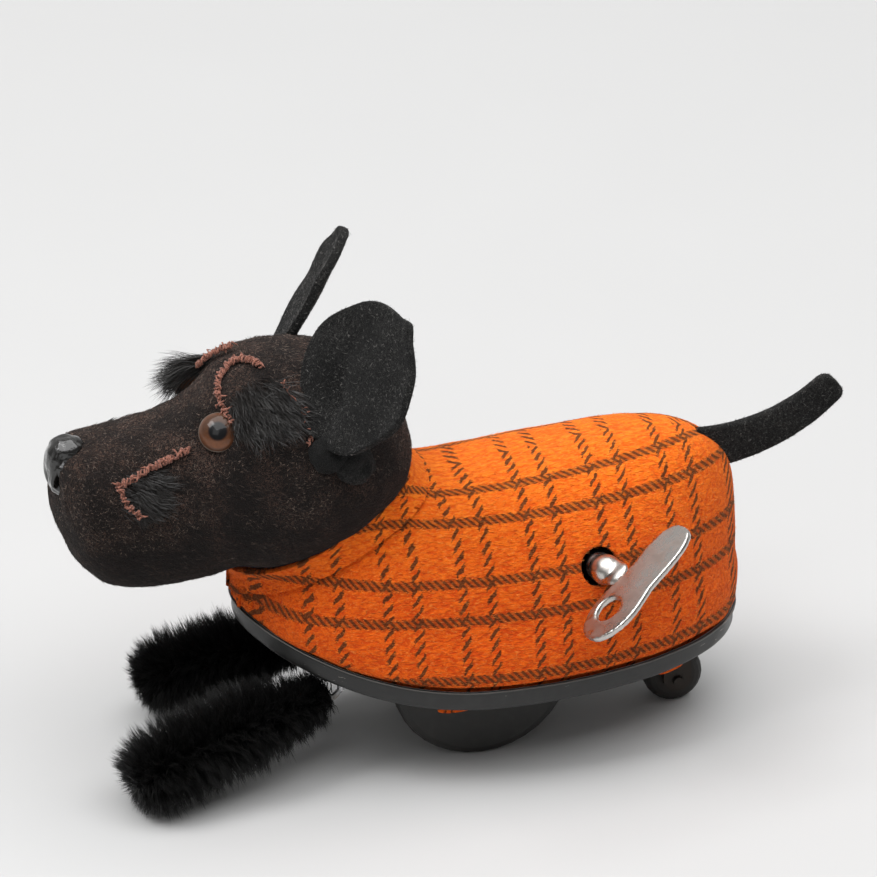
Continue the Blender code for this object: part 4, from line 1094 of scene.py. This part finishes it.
def frayed(name, route, skin, material, ply=3, coil=0.55, radius=0.17, proud=0.4):
    """A frayed edge of backing cloth: crinkled threads along a route on the head, with loose ends."""
    rng = random.Random(name)
    paths = []
    per_leg = 34
    for p in range(ply):
        path = []
        turn = rng.uniform(0, 2 * pi)
        for i in range(per_leg * (len(route) - 1) + 1):
            point, normal = on_head(*blended(route, i / per_leg), skin, proud)
            ahead, _ = on_head(*blended(route, (i + 1) / per_leg), skin, proud)
            along = (ahead - point).normalized()
            side = along.cross(normal).normalized()
            turn += 0.75 + 0.9 * noise.noise(Vector((i * 0.23, p * 9.1, 0.5)))
            wide = coil * (0.75 + 0.8 * noise.noise(Vector((i * 0.19, p * 5.7, 3.5))))
            swing = side * cos(turn) * wide + normal * (0.6 + sin(turn)) * wide * 0.7
            slip = along * sin(turn * 0.5 + p) * 0.25
            path.append(point + (swing + slip) * MM)
        paths.append(path)
    for i in range(5 * (len(route) - 1)):
        point, normal = on_head(*blended(route, i / 5), skin, proud)
        drift = jitter(rng, 1)
        drift = (drift - normal * drift.dot(normal) * 0.6).normalized()
        reach = rng.uniform(0.6, 1.5) * MM
        paths.append([point, point + (drift * 0.6 + normal * 0.6) * reach, point + drift * reach * 1.1])
    return tube(name, paths, radius, material, "mohair")


def tuft(name, node, skin, material, lay, lift, reach, count):
    """A patch of mohair: hairs rooted over a CAD pad, lying along lay."""
    rng = random.Random(name)
    middle, half = extent(node)
    paths = []
    while len(paths) < count:
        spot = Vector([rng.uniform(-1, 1) for _ in range(3)])
        if spot.length > 1:
            continue
        guess = middle + Vector([s * h for s, h in zip(spot, half)]) * 0.95 - lay * reach * 0.4 * MM
        _, root, normal, _ = skin.closest_point_on_mesh(guess)
        paths.append(lock(rng, root, normal, lay, lift, reach))
    return strands(name, paths, MOHAIR_W, material, "mohair", [node])


def lock(rng, root, normal, lay, lift, reach):
    """One curling hair from its root, in a lock with its neighbours."""
    length = reach * MM * rng.uniform(0.55, 1.1)
    clump = Vector([noise.noise(root / (1.6 * MM) + Vector((9 * k, 0, 0))) for k in range(3)])
    drift = (lay + clump * 0.9 + jitter(rng, 0.16)).normalized()
    flat = level(drift, normal)
    path = [root - normal * 0.2 * MM]
    for k in range(5):
        share = (k + 1) / 5
        rise = normal * (lift * (1 - 0.75 * share))
        path.append(path[-1] + (flat + rise + clump * 0.4 * share).normalized() * length / 5)
    return path


def fringe(name, route, skin, material, fan, reach, count):
    """Long free hairs that stand out from the skin along a route and droop at their ends."""
    rng = random.Random(name)
    paths = []
    for _ in range(count):
        share = rng.random()
        root, _ = on_head(*blended(route, share * (len(route) - 1)), skin)
        root += jitter(rng, 0.5) * MM
        bunch = Vector([noise.noise(Vector((share * 11, 7 * k, 2.5))) for k in range(3)])
        heading = fan[0].lerp(fan[1], share) + bunch * 0.55 + jitter(rng, 0.13)
        heading.normalize()
        length = reach * MM * rng.uniform(0.45, 1.0)
        sag = rng.uniform(0.10, 0.32)
        path = [root]
        for k in range(7):
            heading = (heading + Vector((0, 0, -sag * 0.55)) + bunch * 0.10).normalized()
            path.append(path[-1] + heading * length / 7)
        paths.append(path)
    return strands(name, paths, FRINGE_W, material, "mohair")


# ---------------------------------------------------------------- tail and legs

def tail(wool):
    """Blade of thick felt with soft edges and a rounded end."""
    count = 40
    root, bend, tip = (Vector(p) for p in (TAIL_ROOT, TAIL_BEND, TAIL_TIP))
    bm = bmesh.new()
    rows = []
    for i in range(count + 1):
        t = i / count
        point = bent(root, bend, tip, t)
        along = ((bend - root) * (1 - t) + (tip - bend) * t).normalized()
        across = Vector((along.y, -along.x))
        half = TAIL_HALF[0] + (TAIL_HALF[1] - TAIL_HALF[0]) * t
        rows.append(tail_ring(bm, point, across, half, i))
    end = 8
    for i in range(1, end + 1):
        a = pi / 2 * i / end
        half = TAIL_HALF[1] * max(0.06, cos(a)) ** 0.6
        rows.append(tail_ring(bm, tip + along * TAIL_HALF[1] * sin(a) * 0.7, across, half, count + i))
    capped(bm, rows)
    return shape("felt_tail", bm, wool, "ear_felt", ["tail"])


def tail_ring(bm, point, across, half, step):
    """One flattened ring of the tail's skin."""
    ring = []
    sides = 28
    for j in range(sides):
        a = 2 * pi * j / sides
        c, s = cos(a), sin(a)
        wide = half * signed(c, 0.8)
        thick = TAIL_T / 2 * signed(s, 0.45) * min(1.0, half / 1.2)
        wave = 0.16 * noise.noise(Vector((step * 0.22, c * 1.5, s * 1.5)))
        place = point + across * (wide + wave)
        ring.append(bm.verts.new(at(place.x, thick + wave, place.y)))
    return ring


def leg_path(side, t):
    """A point along a foreleg's wire, from root to tip, in the dog's millimetres."""
    sign = 1 if side == "left" else -1
    root = Vector((LEG_ROOT[0], sign * LEG_ROOT[1], LEG_ROOT[2]))
    tip = Vector(LEG_TIPS[side])
    bend = (root + tip) / 2 + Vector((0, 0, 1.6))
    return bent(root, bend, tip, t)


def foreleg(side, bristle, steel):
    """Chenille leg: bristles in pointed clumps, held in a twist of two wires."""
    rng = random.Random(f"leg {side}")
    paths = []
    span = (leg_path(side, 1) - leg_path(side, 0)).length
    overrun = LEG_R * 0.5 / span
    for _ in range(CLUMPS):
        t = rng.uniform(-0.05, 1.0 + overrun) if rng.random() > 0.12 else 1.0 + overrun * rng.random()
        near = min(1.0, max(0.0, t))
        along = (leg_path(side, near + 0.02) - leg_path(side, near - 0.02)).normalized()
        centre = leg_path(side, near) + along * span * (t - near)
        swell = LEG_NECK + (1 - LEG_NECK) * smooth(2.4 * t)
        past = max(0.0, t - 1.0) / overrun
        reach = LEG_R * LEG_FRINGE[side] * swell * sqrt(max(0.2, 1 - 0.8 * past * past))
        reach *= rng.uniform(0.90, 1.05)
        side_ways = along.cross(jitter(rng, 1)).normalized()
        lean = 0.12 + 0.75 * past + rng.gauss(0, 0.12)
        head_to = (side_ways + along * lean).normalized() * reach
        for _ in range(CLUMP_BRISTLES):
            start = centre + jitter(rng, 0.7)
            end = centre + head_to * rng.uniform(0.82, 1.0) + jitter(rng, 0.20)
            sag = jitter(rng, 0.25)
            end.z = max(end.z, 0.12)
            middle = (start + end) / 2 + sag
            middle.z = max(middle.z, 0.12)
            paths.append([at(*start), at(*middle), at(*end)])
    strands(f"chenille_{side}", paths, BRISTLE_W, bristle, "chenille", [f"foreleg_{side}"])
    twist = []
    for phase in (0, pi):
        path = []
        for i in range(121):
            t = i / 120
            spin = Vector((0, cos(t * 44 + phase), sin(t * 44 + phase))) * 0.42
            path.append(at(*(leg_path(side, t) + spin)))
        twist.append(path)
    tube(f"leg_wire_{side}", twist, LEG_WIRE_R, steel, "wire_steel")


# ---------------------------------------------------------------- light and camera

def soft_box(name, place, aim_height, size, power):
    """A square light that points at the toy."""
    light = bpy.data.lights.new(name, "AREA")
    light.shape = "SQUARE"
    light.size = size
    light.energy = power
    obj = link(bpy.data.objects.new(name, light))
    obj.location = place
    obj.rotation_euler = (Vector((0, 0, aim_height)) - Vector(place)).to_track_quat("-Z", "Y").to_euler()


def studio():
    """Pale floor, pale surroundings and the soft boxes."""
    floor_mesh = bpy.data.meshes.new("floor")
    bm = bmesh.new()
    bmesh.ops.create_grid(bm, x_segments=1, y_segments=1, size=4)
    bm.to_mesh(floor_mesh)
    bm.free()
    floor = link(bpy.data.objects.new("floor", floor_mesh))
    shade = Shade("paper", Roughness=0.8, Specular_IOR_Level=0.1)
    shade.set("Base Color", shade.mix(shade.noise(40, 2), FLOOR_DARK, FLOOR_PALE))
    floor_mesh.materials.append(shade.material)
    world = bpy.data.worlds.new("studio")
    world.use_nodes = True
    nodes, links = world.node_tree.nodes, world.node_tree.links
    apart = nodes.new("ShaderNodeSeparateXYZ")
    links.new(nodes.new("ShaderNodeTexCoord").outputs["Generated"], apart.inputs[0])
    behind = nodes.new("ShaderNodeMapRange")
    behind.interpolation_type = "SMOOTHSTEP"
    for i, value in enumerate((0, 0.25, -0.55, WORLD_NEAR, WORLD_FAR)):
        behind.inputs[i].default_value = value
    links.new(apart.outputs["X"], behind.inputs[0])
    background = nodes["Background"]
    background.inputs["Color"].default_value = (1.0, 0.995, 0.985, 1)
    links.new(behind.outputs[0], background.inputs["Strength"])
    bpy.context.scene.world = world
    bpy.context.scene.view_settings.view_transform = "Standard"
    for box in SOFT_BOXES:
        soft_box(*box)


def camera():
    """The camera, far off with a long lens."""
    data = bpy.data.cameras.new("camera")
    data.sensor_width = 36
    data.lens = 36 * CAMERA_REACH / CAMERA_WIDTH
    data.clip_end = 20
    obj = link(bpy.data.objects.new("camera", data))
    from_aim = Vector((
        cos(CAMERA_TURN) * cos(CAMERA_RISE), -sin(CAMERA_TURN) * cos(CAMERA_RISE), sin(CAMERA_RISE)))
    obj.location = at(*CAMERA_AIM) + from_aim * CAMERA_REACH
    obj.rotation_euler = (-from_aim).to_track_quat("-Z", "Y").to_euler()
    bpy.context.scene.camera = obj


# ---------------------------------------------------------------- the whole toy

def sunlit(point, normal):
    """Whether a place on the head faces up, or is one of the random patches where its pile is rubbed pale.
    Pale lint kept on faces turned up is painted light from above.
    """
    return normal.z + 1.3 * noise.noise(point / (9 * MM)) > 0.05


def dress():
    """Build every piece and give every CAD node its finish."""
    enamel = painted("black_enamel", (0.012, 0.012, 0.0115), (0.40, 0.38, 0.35), 0.36, 0.66)
    matt = painted("matt_black", (0.019, 0.018, 0.0165), (0.06, 0.045, 0.035), 0.58, 0.66)
    nickel = metal("worn_nickel", (0.58, 0.55, 0.52), (0.47, 0.435, 0.40), 0.27, (1, 0.6, 0.6), 1.2, 0.001)
    steel = metal("mill_steel", (0.55, 0.55, 0.56), (0.30, 0.27, 0.24), 0.34, (1, 1, 0.15))
    blued = metal("blued_steel", (0.16, 0.18, 0.24), (0.10, 0.09, 0.10), 0.30)
    brass = metal("stamped_brass", (0.72, 0.52, 0.22), (0.42, 0.28, 0.12), 0.30, (1, 1, 0.2))
    cloth = plaid_wool()
    black_felt = felt("black_felt", (0.008, 0.008, 0.008), (0.060, 0.058, 0.055))
    # Painted light: the head felt is paler on faces turned up (top_light 0.65).
    brown_felt = felt("brown_black_wool", (0.006, 0.005, 0.005), (0.150, 0.086, 0.064), 0.36, 0.85, 0.65)
    fur = hair("black_mohair", (0.005, 0.0045, 0.0045), (0.034, 0.030, 0.028), 0.45)
    bristle = hair("black_bristle", (0.003, 0.003, 0.003), (0.014, 0.0135, 0.013), 0.5)
    cotton = thread("frayed_cotton", (0.12, 0.036, 0.021), (0.36, 0.140, 0.092))
    lint = hair("dark_lint", (0.008, 0.007, 0.0065), (0.34, 0.25, 0.20), 0.8, 2.2)
    nap = hair("dark_nap", (0.006, 0.005, 0.005), (0.12, 0.085, 0.070), 0.8, 1.5)
    grey_lint = hair("grey_lint", (0.008, 0.008, 0.008), (0.22, 0.21, 0.20), 0.8, 2.4)
    orange_lint = hair("orange_lint", (0.66, 0.15, 0.015), (0.95, 0.38, 0.09), 0.8)

    paint_node(["body_former"], enamel)
    paint_node(["drive_wheel_left", "drive_wheel_right", "rear_roller", "roller_bracket", "roller_pin"], matt)
    paint_node(["great_wheel", "second_wheel", "third_wheel", "governor_fly"], brass)
    paint_node(["mainspring", "ratchet_click"], blued)
    paint_node(["head_core"], card_or_wood("pressed_card", (0.36, 0.27, 0.17), (0.52, 0.41, 0.28), (1, 1, 1)))
    wood = card_or_wood("turned_wood", (0.42, 0.28, 0.14), (0.62, 0.45, 0.26), (1, 1, 0.12))
    paint_node(["neck_block"], wood)
    slots = {entry["node"]: entry["material_slot"] for entry in frame["record"]["subparts"]}
    paint_node([name for name, slot in slots.items() if slot in ("frame_steel", "wire_steel")], steel)

    tray(enamel)
    hem(cloth)
    key(nickel)
    skin = head(brown_felt)
    coat_piece = coat(cloth, skin)
    collar(cloth, skin)
    chest_seam(cloth, coat_piece)
    nose(wax())
    tail_piece = tail(black_felt)
    ears = {}
    for side in ("left", "right"):
        eye(side)
        ears[side] = ear(side, black_felt)
        foreleg(side, bristle, steel)
    ear_lobes(black_felt, skin)
    tufts(skin, fur, cotton)

    # Painted light: the pale head lint goes mostly on faces turned up, so the top of the head looks lit.
    fuzz("head_lint", skin, HEAD_LINT, lint, "head_felt", keep=sunlit)
    fuzz("head_nap", skin, HEAD_NAP, nap, "head_felt", comb=way(-1, 0.1, -0.35))
    fuzz("coat_lint", coat_piece, COAT_LINT, orange_lint, "coat_cloth", comb=way(-1, 0, 0))
    fuzz("tail_lint", tail_piece, TAIL_LINT, grey_lint, "ear_felt")
    for side in ("left", "right"):
        fuzz(f"ear_lint_{side}", ears[side], EAR_LINT, grey_lint, "ear_felt")


def tufts(skin, fur, cotton):
    """Brows and moustaches, with the frayed edges of their backing."""
    brows = {"left": (way(-0.55, 0.75, -0.55), 0.6, 4.6), "right": (way(-0.1, -0.9, -0.6), 0.15, 3.2)}
    for side, sign in (("left", 1), ("right", -1)):
        tuft(f"brow_fur_{side}", f"brow_{side}", skin, fur, *brows[side], BROW_HAIRS)
        lay = way(-0.9, sign * 0.3, -0.45)
        tuft(
            f"moustache_fur_{side}", f"moustache_{side}", skin, fur, lay, 0.5, MOUSTACHE_REACH,
            MOUSTACHE_HAIRS)
        for name, route, ply, coil in (
                ("moustache_thread", MOUSTACHE_TOP, 3, 0.62),
                ("moustache_edge", MOUSTACHE_FRONT, 2, 0.55)):
            mirrored = [(forward, sign * left, up + min(0, sign) * 5.0) for forward, left, up in route]
            frayed(f"{name}_{side}", mirrored, skin, cotton, ply, coil)
    frayed("brow_thread_left", BROW_TOP, skin, cotton, 3, 0.62)
    frayed("brow_edge_left", BROW_REAR, skin, cotton, 1, 0.3, 0.12)
    frayed("brow_loop_left", BROW_LOOP, skin, cotton, 1, 0.45, 0.2)
    frayed("brow_thread_right", BROW_FAR, skin, cotton, 3, 0.6, proud=0.9)
    fan = (way(0.85, -0.35, 0.22), way(0.75, -0.60, -0.35))
    fringe("brow_fringe_right", BROW_FAR_FUR, skin, fur, fan, FRINGE_REACH, FRINGE_HAIRS)


dress()
studio()
camera()
